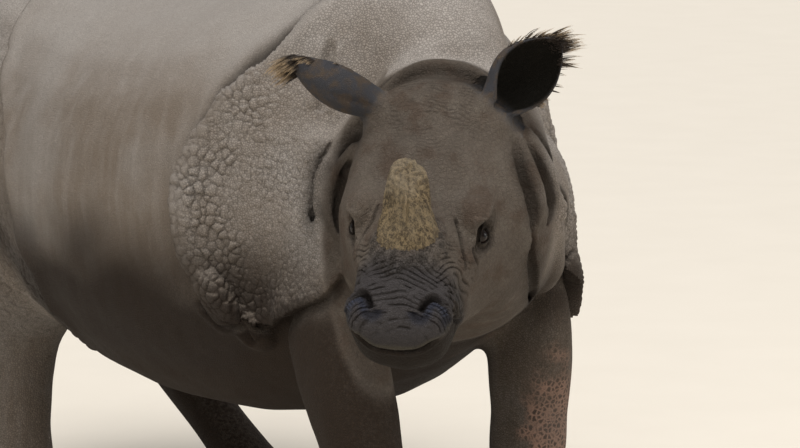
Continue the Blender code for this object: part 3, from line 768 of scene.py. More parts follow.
def shape_nostril(work, side):
    """A deep comma-shaped slit over a ribbed lining."""
    slit = [on_head(side * left, along, above) for left, along, above, *_ in eased(NOSTRIL, 5)]
    where = work.near(slit, 0.05)
    gap, share, foot = to_path(work.points[where], slit)
    own = to_head(foot)
    beyond = work.head[where][:, 1] - own[:, 1]
    fade = ramp(0, 0.10, share) * ramp(0, 0.10, 1 - share)
    rim = 0.0035 * bell(gap - 0.013, 0.006) * (beyond < 0)
    lining = bell(gap - 0.015, 0.011) * (beyond >= 0)
    ribs = 0.5 + 0.5 * np.cos(2 * math.pi * share * 13)
    work.lift(rim - fade * 0.024 * bell(gap, 0.0062) - lining * (0.002 + 0.0022 * ribs ** 2), where)
    # Painted shade in the slit and between the lining's ribs.
    stain_and_shade = np.maximum(fade * bell(gap, 0.009), lining * ribs ** 2 * 0.8)
    work.depth[where] = np.maximum(work.depth[where], stain_and_shade)
    work.blue[where] = np.maximum(work.blue[where], lining)


def shape_mouth(work):
    half = eased(MOUTH, 5)
    line = [(-left, along, above) for left, along, above in half[::-1]] + half[1:]
    # The mouth's line is painted dark as shade by the crease.
    work.crease([on_head(*p) for p in line], 0.013, 0.0050, 0.0022)


def wrinkle_muzzle(work):
    """Wrinkles across the muzzle, and slanting ones behind the nostrils."""
    left, along, above = work.head.T
    where = np.flatnonzero((along > 0.30) & (along < 0.70) & (np.abs(left) < 0.20) & (above > -0.30))
    spots = work.points[where]
    left, along, above = left[where], along[where], above[where]
    drift = wander(spots, 0.06, 11) * 0.35
    across = (along - 1.6 * left ** 2) / WRINKLES_APART + drift * 1.3
    muzzle = ramp(0.485, 0.53, along) * (1 - ramp(0.645, 0.665, along)) * ramp(-0.16, -0.09, above)
    line = (0.5 + 0.5 * np.cos(2 * math.pi * across)) ** 5
    fine = (0.5 + 0.5 * np.cos(2 * math.pi * across * 2.3 + 1.0)) ** 4
    broken = ramp(-0.7, 0.1, wander(spots, 0.03, 12))
    amount = muzzle * broken * (0.0030 * line + 0.0011 * fine)
    slant = (along * 0.75 + np.abs(left) * 0.9) / WRINKLES_APART + drift * 1.9
    beside = ramp(0.38, 0.46, along) * (1 - ramp(0.56, 0.61, along)) * ramp(0.070, 0.095, np.abs(left))
    beside = beside * ramp(-0.22, -0.14, above)
    slant_line = (0.5 + 0.5 * np.cos(2 * math.pi * slant)) ** 4
    amount = amount + beside * broken * 0.0042 * slant_line
    work.lift(-amount, where)
    # Painted shade in the wrinkles.
    stain_and_shade = muzzle * broken * line * 0.95 + beside * broken * slant_line * 0.85
    work.depth[where] = np.maximum(work.depth[where], stain_and_shade)


def wrinkle_crown(work):
    """Fine wrinkles across the crown."""
    left, along, above = work.head.T
    where = np.flatnonzero((along > -0.04) & (along < 0.30) & (np.abs(left) < 0.15) & (above > -0.16))
    spots = work.points[where]
    crown = ramp(0.30, 0.06, along[where]) * ramp(-0.04, 0.0, along[where])
    crown = crown * ramp(0.15, 0.09, np.abs(left[where]))
    rows = along[where] / CROWN_WRINKLES_APART + 0.7 * wander(spots, 0.09, 13)
    rows = rows + 0.4 * wander(spots, 0.030, 14)
    line = (0.5 + 0.5 * np.cos(2 * math.pi * rows)) ** 3
    broken = ramp(-0.4, 0.3, wander(spots, 0.028, 15))
    work.lift(-crown * broken * 0.0020 * line, where)
    # Painted shade in the wrinkles.
    work.depth[where] = np.maximum(work.depth[where], crown * broken * line * 0.45)


# Creases that cross the face singly: places on its left half, depth and half width.
FACE_CREASES = (
    (((0.082, 0.322, -0.056), (0.098, 0.354, -0.066), (0.112, 0.385, -0.080), (0.124, 0.422, -0.109),
      (0.132, 0.450, -0.130)), 0.0060, 0.0042),
    (((0.130, 0.382, -0.106), (0.136, 0.400, -0.124), (0.145, 0.410, -0.160), (0.150, 0.425, -0.195)),
     0.0050, 0.0040),
    (((0.116, 0.600, -0.104), (0.118, 0.540, -0.180), (0.122, 0.485, -0.250)), 0.0075, 0.0055),
    (((0.122, 0.520, -0.176), (0.134, 0.490, -0.205), (0.138, 0.460, -0.245)), 0.0070, 0.0060),
    (((0.112, 0.600, -0.100), (0.124, 0.560, -0.118), (0.132, 0.520, -0.130)), 0.0045, 0.0045),
)
# Rounded forms in the face: left, along, above, radius and height; a hollow's height is below nothing.
FACE_FORMS = (
    (0.122, 0.318, -0.070, 0.034, 0.013), (0.104, 0.318, -0.064, 0.026, 0.005),
    (0.112, 0.350, -0.082, 0.022, -0.006), (0.165, 0.340, -0.175, 0.040, 0.006),
    (0.172, 0.250, -0.190, 0.050, 0.008), (0.160, 0.445, -0.240, 0.050, -0.008),
    (0.096, 0.500, -0.062, 0.030, 0.006), (0.126, 0.480, -0.130, 0.030, -0.005),
    (0.052, 0.180, -0.020, 0.040, 0.006), (0.190, 0.150, -0.200, 0.050, -0.010),
    (0.090, 0.140, -0.040, 0.045, -0.006),
)


def shape_horn_foot(work):
    """Hide that climbs the horn's foot in crumbs."""
    left, along, above = work.head.T
    ring = np.hypot(left / 0.071, (along - HORN_ALONG - 0.004) / 0.081)
    uneven = 0.10 * wander(work.points, 0.03, 16)
    amount = ramp(1.34, 1.10, ring + uneven) * (above > -0.13)
    work.lift(0.0040 * amount)
    stud(work, amount, 0.0075, 0.0036, 35, 0.7)
    work.dark = np.maximum(work.dark, 0.9 * amount * ramp(-0.6, 0.5, wander(work.points, 0.012, 19)))


def shape_face(work):
    for side in (1, -1):
        for left, along, above, radius, height in FACE_FORMS:
            spot = np.array(on_head(side * left, along, above))
            where = work.near([spot], radius * 2.5)
            gap = np.linalg.norm(work.points[where] - spot, axis=1)
            work.lift(height * bell(gap, radius), where)
    work.renew()
    for side in (1, -1):
        for path, depth, width in FACE_CREASES:
            line = eased([(side * left, along, above) for left, along, above in path], 4)
            # The creases are painted dark as shade.
            work.crease([on_head(*p) for p in line], depth, width, depth * 0.3, 0.85, 0.004)
        shape_eye(work, side)
        shape_nostril(work, side)
    shape_mouth(work)
    wrinkle_muzzle(work)
    wrinkle_crown(work)
    shape_horn_foot(work)
    work.renew()


# ---------------------------------------------------------------------------------------------
# Studs and pebbles
# ---------------------------------------------------------------------------------------------
def scattered(points, spacing, dice):
    """Seeds about this far apart, evened out by moving each to the middle of its own points."""
    cell = np.floor(points / spacing).astype(np.int64)
    key = cell @ np.array([73856093, 19349663, 83492791])
    order = dice.permutation(len(points))
    _, first = np.unique(key[order], return_index=True)
    seeds = points[order[first]]
    sample = points[order[: max(len(seeds) * 14, 10)]]
    for _ in range(2):
        tree = tree_of(seeds)
        own = np.array([tree.find(p)[1] for p in sample])
        count = np.bincount(own, minlength=len(seeds))
        middle = np.stack([np.bincount(own, sample[:, k], len(seeds)) for k in range(3)], 1)
        seeds = np.where(count[:, None] > 0, middle / np.maximum(count, 1)[:, None], seeds)
    return seeds


def tree_of(points):
    tree = KDTree(len(points))
    for i, p in enumerate(points):
        tree.insert(p, i)
    tree.balance()
    return tree


def stud(work, amount, spacing, height, seed, stain_and_shade=0.45):
    """Rounded studs of mixed sizes packed side by side wherever the amount is above nothing."""
    where = np.flatnonzero(amount > 0.02)
    dice = np.random.default_rng(seed)
    spots = work.points[where]
    seeds = scattered(spots, spacing, dice)
    size = dice.uniform(0.62, 1.30, len(seeds))
    tall = dice.uniform(0.45, 1.15, len(seeds)) * size
    tree = tree_of(seeds)
    spots = spots + np.stack([wander(spots, spacing * 1.1, seed + k) for k in range(3)], 1) * spacing * 0.15
    found = [tree.find_n(spot, 5) for spot in spots]
    gaps = np.array([[f[2] for f in row] for row in found])
    owners = np.array([[f[1] for f in row] for row in found])
    scaled = gaps / size[owners]
    order = np.argsort(scaled, axis=1)
    rank = np.arange(len(scaled))
    first, second = scaled[rank, order[:, 0]], scaled[rank, order[:, 1]]
    own = owners[rank, order[:, 0]]
    inside = (second - first) / (second + first)
    dome = np.sqrt(np.clip(1 - (1 - np.clip(inside * 1.25, 0, 1)) ** 2.4, 0, 1))
    work.lift(amount[where] * height * (tall[own] * dome - 0.45), where)
    # Painted shade in the grooves between the studs.
    groove = 1 - ramp(0.03, 0.16, inside)
    work.depth[where] = np.maximum(work.depth[where], amount[where] * groove * stain_and_shade)
    work.studs[where] = np.maximum(work.studs[where], amount[where] * dome)


def side_of(y, turn, edge, forward):
    """How far points lie before the edge that the places give, or behind it where forward is -1."""
    line = np.interp(np.abs(turn), [t for _, t in edge], [v for v, _ in edge])
    return (line - y) * forward


def add_studs(work):
    before = side_of(work.y, work.turn, SHOULDER_EDGE, 1)
    from_head = out_of_head(work.head, (0.27, 0.48, 0.40), 0.20)
    turn = np.abs(work.turn)
    shield = ramp(-0.030, 0.000, before) * ramp(1.0, 1.12, from_head)
    hem, left_hem = (np.interp(work.y, *zip(*edge[::-1])) for edge in (HEM, LEFT_HEM))
    hem = np.where(work.turn > 0, left_hem, hem)
    shield *= ramp(28, 52, turn) * (1 - ramp(-4, 3, turn - hem)) * ramp(0.62, 0.70, work.z)
    shield *= (work.y < 0)
    ragged = wander(work.points, 0.10, 21) * 0.03
    big = shield * (1 - ramp(0.070, 0.170, before + ragged)) * ramp(40, 62, turn)
    small = shield * ramp(0.04, 0.10, before + ragged)
    small *= 0.30 + 0.70 * ramp(52, 84, turn)
    behind = side_of(work.y, work.turn, FLANK_EDGE, -1)
    hip = ramp(0.02, 0.06, behind) * ramp(45, 75, turn) * ramp(0.40, 0.55, work.z) * (work.y > 0)
    hip = hip * (1 - ramp(1.20, 1.32, work.y))
    patchy = 0.55 + 0.45 * ramp(-0.5, 0.5, wander(work.points, 0.12, 22))
    stud(work, big * patchy, 0.027, 0.0105, 31, 0.40)
    stud(work, small * (1 - 0.8 * big) * patchy, 0.0190, 0.0064, 32, 0.32)
    stud(work, hip * 0.8 * patchy, 0.029, 0.0068, 33, 0.30)
    stud(work, work.dark * ramp(1.02, 1.10, from_head) * 0.9, 0.0100, 0.0036, 34, 0.6)
    work.renew()


# ---------------------------------------------------------------------------------------------
# The whole hide
# ---------------------------------------------------------------------------------------------
def sculpted_skin():
    """The folded skin with all its relief, divided finer where it is studded or wrinkled."""
    mesh = folded_skin()
    shaped = Sculpt(mesh)
    shape_trunk(shaped)
    put(mesh, shaped.points)
    from_head = out_of_head(to_head(shaped.points), (0.32, 0.52, 0.44))
    before = side_of(shaped.y, shaped.turn, SHOULDER_EDGE, 1)
    shield = (before > -0.02) & (shaped.y < -0.4) & (np.abs(shaped.turn) > 30) & (shaped.z > 0.62)
    refine(mesh, (from_head < 1) | shield)
    left, along, above = to_head(places(mesh)).T
    refine(mesh, (along > 0.24) & (along < 0.75) & (np.abs(left) < 0.24) & (above > -0.30))
    work = Sculpt(mesh)
    tree = tree_of(shaped.points)
    own = np.array([tree.find(p)[1] for p in work.points])
    work.depth, work.dark = shaped.depth[own], shaped.dark[own]
    add_studs(work)
    shape_face(work)
    put(mesh, work.points)
    return mesh, work


# ---------------------------------------------------------------------------------------------
# Ears
# ---------------------------------------------------------------------------------------------
EAR_ROOT = (0.120, 0.042, -0.052)
# Each ear's way to its tip, the way its hollow faces, how wide it spreads, and how much it narrows.
EARS = {
    "left": (Vector((0.155, -0.065, 0.170)), Vector((-0.02, -0.99, 0.10)), 1.20, 0.10),
    "right": (Vector((-0.190, 0.110, 0.125)), Vector((-0.45, 0.55, 0.60)), 1.00, 0.42),
}
# Share of the length, half width, half depth, half the opening in degrees, and the wall.
EAR_ROWS = (
    (-0.14, 0.046, 0.044, 8, 0.034), (0.02, 0.041, 0.040, 10, 0.028), (0.12, 0.042, 0.040, 22, 0.018),
    (0.22, 0.047, 0.042, 44, 0.010), (0.36, 0.061, 0.049, 64, 0.0075), (0.52, 0.070, 0.051, 74, 0.0065),
    (0.68, 0.066, 0.046, 80, 0.0060), (0.80, 0.054, 0.038, 84, 0.0055), (0.90, 0.038, 0.028, 86, 0.0050),
    (0.97, 0.021, 0.017, 88, 0.0048), (1.00, 0.011, 0.010, 88, 0.0046),
)
EAR_AROUND = 34


class Ear:
    """An ear's own axes, and the curled leaf of hide that stands on them."""

    def __init__(self, side):
        way, faces, self.spread, self.narrow = EARS[side]
        self.sign = SIDES[side]
        self.root = on_head(self.sign * EAR_ROOT[0], EAR_ROOT[1], EAR_ROOT[2])
        self.length = way.length
        self.up = way.normalized()
        self.front = (faces - self.up * faces.dot(self.up)).normalized()
        self.across = self.up.cross(self.front)

    def axis(self, share):
        """The middle line bows back a little, then forward at the tip."""
        return self.root + self.up * (share * self.length) - self.front * (0.010 * math.sin(math.pi * share))

    def place(self, row, turn, inward=0.0):
        """A place on the wall: turn is 0 at the ear's back, in degrees."""
        share, half, deep, *_ = row
        angle = math.radians(turn)
        wide = half * self.spread * (1 - self.narrow * min(max(share, 0), 1))
        wide = max(wide, inward + 0.002)
        return (self.axis(share) + self.across * ((wide - inward) * math.sin(angle))
                - self.front * ((deep - inward) * math.cos(angle)))

    def crease(self, share, turn):
        """A fold that runs up the ear's back from its root."""
        line = 38 - 46 * share
        return 0.006 * math.exp(-((turn * self.sign - line) / 9) ** 2 - ((share - 0.30) / 0.22) ** 2)

    def rows(self):
        return eased(EAR_ROWS, 5)

    def mesh(self):
        rings = []
        for row in self.rows():
            open_half, wall = row[3], min(row[4], row[2] * 0.9)
            turns = np.linspace(-(180 - open_half), 180 - open_half, EAR_AROUND)
            wavy = [0.0010 * math.sin(9 * row[0] + t / 14) + self.crease(row[0], t) for t in turns]
            outside = [self.place(row, t, wave) for t, wave in zip(turns, wavy)]
            rib = [0.0012 * math.cos(math.radians(t) * 7) * ramp(0.15, 0.4, row[0]) for t in turns]
            inside = [self.place(row, t, wall + r) for t, r in zip(turns, rib)][::-1]
            ends = []
            for outer, inner, before in ((outside[-1], inside[0], outside[-2]),
                                         (outside[0], inside[-1], outside[1])):
                along = (outer - before).normalized()
                ends.append((outer + inner) / 2 + along * wall * 0.45)
            rings.append(outside + [ends[0]] + inside + [ends[1]])
        form = Form()
        form.rings(rings)
        return form.mesh("ear")

    def inner(self, points, out):
        """How far each point belongs to the ear at all, and to its hollow's lining."""
        away = points - np.array(self.root)
        share = away @ np.array(self.up) / self.length
        from_axis = away - np.outer(share * self.length, np.array(self.up))
        from_axis += np.outer(0.010 * np.sin(np.pi * np.clip(share, 0, 1)), np.array(self.front))
        radius = np.linalg.norm(from_axis, axis=1)
        belongs = (share > -0.02) & (share < 1.06) & (radius < 0.095)
        inward = (out * from_axis).sum(1) / np.maximum(radius, 1e-6)
        lined = ramp(0.12, 0.26, share) * ramp(0.25, -0.25, inward)
        return belongs * ramp(0.04, 0.16, share), belongs * lined


def joined_with_ears(mesh, work):
    """The skin and both ears as one, with the notes carried over and the joins softened."""
    old = places(mesh)
    notes = (work.depth, work.studs, work.blue, work.dark)
    hide = show("hide", mesh)
    cutters = []
    for side in SIDES:
        ear = show("ear", Ear(side).mesh())
        union = hide.modifiers.new("ear", "BOOLEAN")
        union.solver = "MANIFOLD"
        union.operation = "UNION"
        union.object = ear
        cutters.append(ear)
    mesh = applied(hide)
    for ear in cutters:
        bpy.data.objects.remove(ear)
    points = places(mesh)
    tree = tree_of(old)
    found = [tree.find(p) for p in points]
    own = np.array([f[1] for f in found])
    gap = np.array([f[2] for f in found])
    carried = [np.where(gap < 0.002, values[own], 0) for values in notes]
    edges = edge_ends(mesh)
    is_new = gap > 1e-4
    mixed = is_new[edges[:, 0]] != is_new[edges[:, 1]]
    seam = points[np.unique(edges[mixed])]
    near_seam = np.full(len(points), 9.0)
    seam_tree = tree_of(seam)
    chosen = np.zeros(len(points), bool)
    for side in SIDES:
        chosen |= np.linalg.norm(points - np.array(Ear(side).root), axis=1) < 0.16
    for i in np.flatnonzero(chosen):
        near_seam[i] = seam_tree.find(points[i])[2]
    weight = 0.55 * (1 - ramp(0.006, 0.022, near_seam))
    points = relaxed(edges, points, 30, weight[:, None])
    points[:, 2] = np.maximum(points[:, 2], 0)
    put(mesh, points)
    return mesh, carried


# ---------------------------------------------------------------------------------------------
# Where the hide is dark, pale, bare or dirty, and where shade and light are painted on it
# ---------------------------------------------------------------------------------------------
# The height that the dark hide of the legs begins under: y and z.
LEG_HEM = ((-1.10, 0.88), (-0.95, 0.86), (-0.58, 0.76), (-0.45, 0.62), (0.20, 0.66))


class Regions:
    """A share from 0 to 1 for each of the finished skin's points, region by region."""

    def __init__(self, mesh):
        self.points, self.out = places(mesh), normals(mesh)
        self.left, self.along, self.above = to_head(self.points).T
        self.y, self.turn, self.z = to_trunk(self.points)
        self.drift = wander(self.points, 0.16, 41) * 0.5
        self.edge = wander(self.points, 0.05, 42) * 0.5
        from_head = out_of_head(to_head(self.points), (0.27, 0.50, 0.38))
        before_nape = ramp(-0.120, -0.090, self.along + 0.3 * ramp(-0.10, -0.20, self.above))
        self.on_face = (1 - ramp(0.95, 1.10, from_head)) * before_nape
        self.ear, self.lining = np.zeros(len(self.points)), np.zeros(len(self.points))
        for side in SIDES:
            of_ear, of_lining = Ear(side).inner(self.points, self.out)
            self.ear, self.lining = np.maximum(self.ear, of_ear), np.maximum(self.lining, of_lining)

    def of_face(self):
        """The slate muzzle above the mouth's line, the pale lips along it, and the dark chin under it,
        partly painted shade.
        """
        left, along, on_face = np.abs(self.left), self.along, self.on_face
        muzzle = ramp(0.465, 0.545, along + 0.02 * self.edge) * ramp(0.165, 0.115, left)
        over_lip = self.above - np.interp(left, *zip(*LIP_LINE))
        muzzle = muzzle * ramp(-0.008, 0.004, over_lip + 0.4 * ramp(0.54, 0.46, along)) * on_face
        lip = [on_head(-side, ahead, up) for side, ahead, up in MOUTH[:0:-1]]
        lip += [on_head(*place) for place in MOUTH[1:]]
        mouth = to_path(self.points, lip)[0]
        lips = on_face * ramp(0.58, 0.62, along) * bell(mouth - 0.008, 0.006) * ramp(-0.002, 0.006, over_lip)
        # The chin's dark is partly painted shade under the mouth.
        chin = on_face * ramp(0.002, -0.012, over_lip) * ramp(0.44, 0.56, along)
        return {"face": on_face * (1 - self.ear), "muzzle": muzzle, "lips": lips, "chin": chin}

    def of_legs(self):
        """Dark hide under the hems and low on the body with painted shade under it, two legs kept paler as
        painted light, and a foreleg's bare shin.
        """
        x, y, z, on_face = self.points[:, 0], self.y, self.z, self.on_face
        left_fore, right_hind = (y < 0) & (x > 0), (y > 0) & (x < 0)
        hem = np.interp(y, *zip(*LEG_HEM))
        leg = ramp(hem + 0.01, hem - 0.07, z + 0.02 * self.drift) * (1 - on_face)
        # Painted light: the left foreleg and the right hind leg take less of the legs' dark hide.
        leg = leg * np.where(right_hind, 0.15, np.where(left_fore, 0.45, 1.0))
        up = self.out[:, 2]
        # Darker hide low on the body, with painted shade where the hide faces down.
        low = ramp(1.05, 0.80, z + 0.07 * self.drift) * (0.45 + 0.55 * ramp(0.65, 0.0, up))
        # Painted shade under the face.
        under_face = on_face * ramp(-0.14, -0.34, self.above + 0.04 * self.edge) * 0.85
        low = np.maximum(low * (1 - on_face), under_face)
        # Painted light: the lower parts of the left foreleg and the right hind leg are kept paler.
        painted_light_fore = np.where(left_fore, 0.60 * ramp(-0.70, -0.80, y), 0)
        painted_light_legs = np.where(right_hind, 0.85 * ramp(0.45, 0.60, y), painted_light_fore)
        low = low * (1 - painted_light_legs * ramp(0.86, 0.70, z) * ramp(0.10, 0.18, np.abs(x)))
        # Painted shade on the hind part's downward-facing hide.
        low = np.maximum(low, 0.35 * ramp(0.45, 0.80, y) * ramp(0.85, 0.40, up) * (1 - on_face))
        shin = ramp(0.70, 0.52, z + 0.10 * self.edge) * ramp(0.12, 0.24, z) * ramp(-0.72, -0.78, y)
        shin = shin * ramp(0.05, 0.12, x)
        shin = shin * ramp(-0.25, 0.25, self.out[:, 0] * 0.75 - self.out[:, 1] * 0.65 + 0.5 * self.edge)
        return {"leg": leg, "low": low, "shin": shin}

    def of_body(self):
        """Dusty hide on the back, dust on the shoulders that is partly painted light, and pebbled hide on
        the shields and the legs.
        """
        y, z, off_face = self.y, self.z, 1 - self.on_face
        back = ramp(1.15, 1.50, z + 0.05 * self.drift) * ramp(0.1, 0.8, self.out[:, 2]) * off_face
        before = side_of(y, self.turn, SHOULDER_EDGE, 1)
        pebbled = np.maximum(ramp(0.0, 0.03, before) * off_face, ramp(0.96, 0.78, z))
        behind = side_of(y, self.turn, FLANK_EDGE, -1)
        pebbled = np.maximum(pebbled, 0.7 * ramp(0.0, 0.05, behind))
        pebbled = np.maximum(pebbled, 0.25) * (1 - 0.8 * self.on_face) * (1 - self.ear)
        # Paler dust on the shoulder, partly painted light standing in for the brighter light there.
        fore = ramp(-0.40, -0.60, y) * ramp(0.84, 0.98, z) * off_face * (1 - self.ear)
        return {"back": back, "pebbled": pebbled, "fore": fore}


def note_regions(mesh, carried):
    """Writes the skin's regions, and the notes of its creases, studs, nostrils and dark places; the creases'
    notes and many dark places are painted shade.
    """
    skin = Regions(mesh)
    crease, studs, nostril, dark = carried
    regions = {**skin.of_face(), **skin.of_legs(), **skin.of_body(),
               "ear": skin.ear, "ear_lining": skin.lining}
    # Painted shade on the muzzle's underside, written into the dark places.
    under_muzzle = 0.55 * regions["muzzle"] * ramp(-0.085, -0.130, skin.above)
    for name, values in (("crease", crease), ("studs", studs), ("nostril", nostril),
                         ("dark", np.maximum(dark, under_muzzle))):
        note(mesh, name, values)
    for name, values in regions.items():
        note(mesh, name, np.clip(values, 0, 1))


def build_hide():
    mesh, work = sculpted_skin()
    mesh, carried = joined_with_ears(mesh, work)
    note_regions(mesh, carried)
    return mesh


# ---------------------------------------------------------------------------------------------
# Horn, eyes and nails
# ---------------------------------------------------------------------------------------------
# Share of the height, half width, half depth and lean towards the poll.
HORN_ROWS = (
    (-0.12, 0.064, 0.074, -0.012), (0.00, 0.068, 0.079, -0.006), (0.10, 0.071, 0.081, -0.002),
    (0.22, 0.068, 0.076, 0.004), (0.38, 0.062, 0.067, 0.016), (0.58, 0.055, 0.056, 0.037),
    (0.80, 0.048, 0.048, 0.060), (0.94, 0.044, 0.044, 0.074), (1.03, 0.040, 0.040, 0.083),
    (1.10, 0.033, 0.033, 0.090), (1.13, 0.024, 0.024, 0.093), (1.145, 0.014, 0.014, 0.095),
    (1.15, 0.004, 0.004, 0.096),
)
HORN_AROUND = 140
# A knob under the horn's top and a chip out of its rim: turn and reach round it, height and reach up it.
HORN_KNOB, HORN_CHIP = (3.75, 0.30, 0.93, 0.09), (5.9, 0.60, 1.02, 0.16)


def mark_on_horn(t, rise, mark):
    turn, wide, height, tall = mark
    return math.exp(-((t - turn) / wide) ** 2 - ((rise - height) / tall) ** 2)


def build_horn():
    """A worn stump of matted fibres: ridged up its length, crumbling at its foot, broken at its top."""
    rows = eased(HORN_ROWS, 12)
    turns = [2 * math.pi * k / HORN_AROUND for k in range(HORN_AROUND)]
    places_in = np.array([(row[1] * math.cos(t), row[2] * math.sin(t) + row[3], row[0] * HORN_LENGTH)
                          for row in rows for t in turns])
    around = np.array([(math.cos(t) * 4, math.sin(t) * 4, row[0] * 0.7) for row in rows for t in turns])
    fibre = wander(around, 0.30, 51, 3)
    lump = wander(places_in, 0.034, 52, 3)
    crumb = wander(places_in, 0.010, 53, 3)
    form = Form()
    rings = []
    number = 0
    for row in rows:
        rise, half, deep, lean = row[:4]
        ring = []
        worn = float(ramp(0.78, 1.06, rise))
        foot = float(ramp(0.30, 0.04, rise))
        solid = float(ramp(0.0, 0.02, half))
        for t in turns:
            bulge = 0.0024 * fibre[number] * (1 - worn * 0.5) + (0.0022 + 0.0012 * worn) * lump[number]
            bulge += (0.0036 * foot + 0.0007 * worn) * crumb[number]
            knob, chip = mark_on_horn(t, rise, HORN_KNOB), mark_on_horn(t, rise, HORN_CHIP)
            bulge = (bulge + 0.009 * knob - 0.009 * chip) * solid
            drop = worn * (0.0034 * lump[number] + 0.0010 * crumb[number])
            drop -= 0.010 * worn * float(ramp(-0.2, 1.0, math.cos(t - HORN_CHIP[0])))
            ring.append(on_head((half + bulge) * math.cos(t),
                                HORN_ALONG - lean - (deep + bulge) * math.sin(t),
                                HORN_FOOT + HORN_LENGTH * rise + drop))
            number += 1
        rings.append(ring)
    form.rings(rings)
    mesh = form.mesh("horn")
    note(mesh, "rise", np.repeat([row[0] for row in rows], HORN_AROUND))
    note(mesh, "worn", crumb)
    return mesh


def build_eyes():
    """Eyeballs with a raised clear front, an oval pupil, and a brown ring."""
    form = Form()
    dark = []
    count, around = 26, 40
    for side in (1, -1):
        centre, look, long_axis, short_axis = eye_axes(side)
        rings = []
        for k in range(count):
            low = math.pi * 0.62 * (k + 0.5) / count
            radius = EYE_RADIUS + 0.0018 * math.exp(-(low / 0.45) ** 2)
            rings.append([centre + radius * (look * math.cos(low) + math.sin(low) * (
                long_axis * math.cos(t) + short_axis * math.sin(t)))
                for t in (2 * math.pi * i / around for i in range(around))])
            dark += [low / (1.0 + 0.25 * abs(math.cos(2 * math.pi * i / around))) for i in range(around)]
        form.rings(rings)
    mesh = form.mesh("eyes")
    note(mesh, "from_middle", np.array(dark))
    return mesh


def build_nails():
    """The toes' broad nails, with growth lines and worn lower rims."""
    form = Form()
    names = [f"{leg}_nail_{toe}" for leg in LEGS for toe in ("inner", "middle", "outer")]
    for name in names:
        form.node(name)
    mesh = remeshed(form.mesh("nails"), 0.0035)
    settle(mesh, 6, 0.5)
    points, out = places(mesh), normals(mesh)
    z = points[:, 2]
    lines = np.sin(2 * np.pi * (z / 0.007 + 0.5 * wander(points, 0.03, 61)))
    worn = wander(points, 0.012, 62)
    amount = 0.0006 * lines + 0.0009 * worn * ramp(0.05, 0.02, z)
    points = points + out * amount[:, None]
    points[:, 2] = np.maximum(points[:, 2], 0)
    put(mesh, points)
    return mesh, names


# ---------------------------------------------------------------------------------------------
# Hair: bristles as thin tapered blades
# ---------------------------------------------------------------------------------------------
class Bristles:
    """Solid hairs, each a three-sided taper, with its patch on the map of the skin."""

    def __init__(self, name):
        self.name = name
        self.form = Form()
        self.patches = []
        self.tips = []

    def grow(self, root, path_ways, length, thick, across, patch):
        """A hair from its root through the ways that its parts point to."""
        here = Vector(root)
        step = length / len(path_ways)
        rings = []
        for k, way in enumerate([path_ways[0]] + list(path_ways)):
            way = Vector(way).normalized()
            if k:
                here = here + way * step
            side = (across - way * across.dot(way)).normalized()
            other = way.cross(side)
            width = thick * (1 - 0.88 * (k / len(path_ways)) ** 1.3)
            rings.append([here + width * (side * math.cos(t) + other * math.sin(t))
                          for t in (0, 2 * math.pi / 3, 4 * math.pi / 3)])
            self.tips += [k / len(path_ways)] * 3
        self.form.rings(rings)
        self.patches.append((patch, len(rings)))

    def mesh(self, paleness=1.0):
        mesh = self.form.mesh(self.name)
        note(mesh, "tip", np.array(self.tips) * paleness)
        layer = mesh.uv_layers.new(name="OFBake")
        spots = []
        for (u, v), rings in self.patches:
            for k in range(rings):
                spots += [(u + 0.003 * k / rings, v + 0.001 * i) for i in range(3)]
        corners = np.empty(len(mesh.loops), np.int32)
        mesh.loops.foreach_get("vertex_index", corners)
        layer.data.foreach_set("uv", np.array(spots, np.float32)[corners].ravel())
        return mesh


# Each fringe: its locks, the share of them at the ear's tip, and its comb: along the ear, and another way.
FRINGES = {
    "left": (105, 0.45, 0.20, Vector((0.90, 0.0, -0.42))),
    "right": (150, 0.95, 0.0, Vector((-0.62, 0.1, -1.15))),
}


def fringe_ears():
    """Long dark hairs with pale tips on each ear's rim: a plume at the tip, fewer down the edges."""
    hairs = Bristles("ear_fringe")
    dice = random.Random(71)
    for number, side in enumerate(SIDES):
        ear = Ear(side)
        rows = ear.rows()
        locks, at_tip, along_ear, other_way = FRINGES[side]
        comb = ear.up * along_ear + other_way
        for _ in range(locks):
            tip = dice.random() < at_tip
            share = 1.0 - abs(dice.gauss(0, 0.07)) if tip else 1.0 - 0.60 * dice.random() ** 1.5
            row = min(rows, key=lambda one: abs(one[0] - share))
            rim = 180 - row[3]
            turn = dice.choice((-1, 1)) * (rim - abs(dice.gauss(0, 10)))
            if share > 0.90:
                turn = dice.uniform(-rim, rim)
            root = ear.place(row, turn, 0.002)
            way_out = (root - ear.axis(row[0] - 0.12)).normalized()
            rise = float(ramp(0.50, 1.0, share))
            lock_way = way_out + ear.up * (0.1 + 0.5 * rise) + comb * (0.25 + 0.65 * rise)
            lock_way += Vector([dice.gauss(0, 0.18) for _ in range(3)])
            lock_length = dice.uniform(0.014, 0.026) + 0.058 * rise * dice.random() ** 0.7
            bend = dice.uniform(0.6, 1.1)
            for _ in range(dice.randint(5, 10)):
                spread = Vector([dice.gauss(0, 0.0022) for _ in range(3)])
                ways = [lock_way.normalized() + comb * bend * (k / 5) - spread * 60 * (k / 5)
                        for k in range(6)]
                u = 0.05 + 0.45 * number + 0.40 * (turn + 180) / 360
                hairs.grow(root + spread - way_out * 0.003, ways, lock_length * dice.uniform(0.7, 1.0),
                           dice.uniform(0.0005, 0.0009), ear.across, (u, 0.05 + 0.85 * share))
    return hairs.mesh()


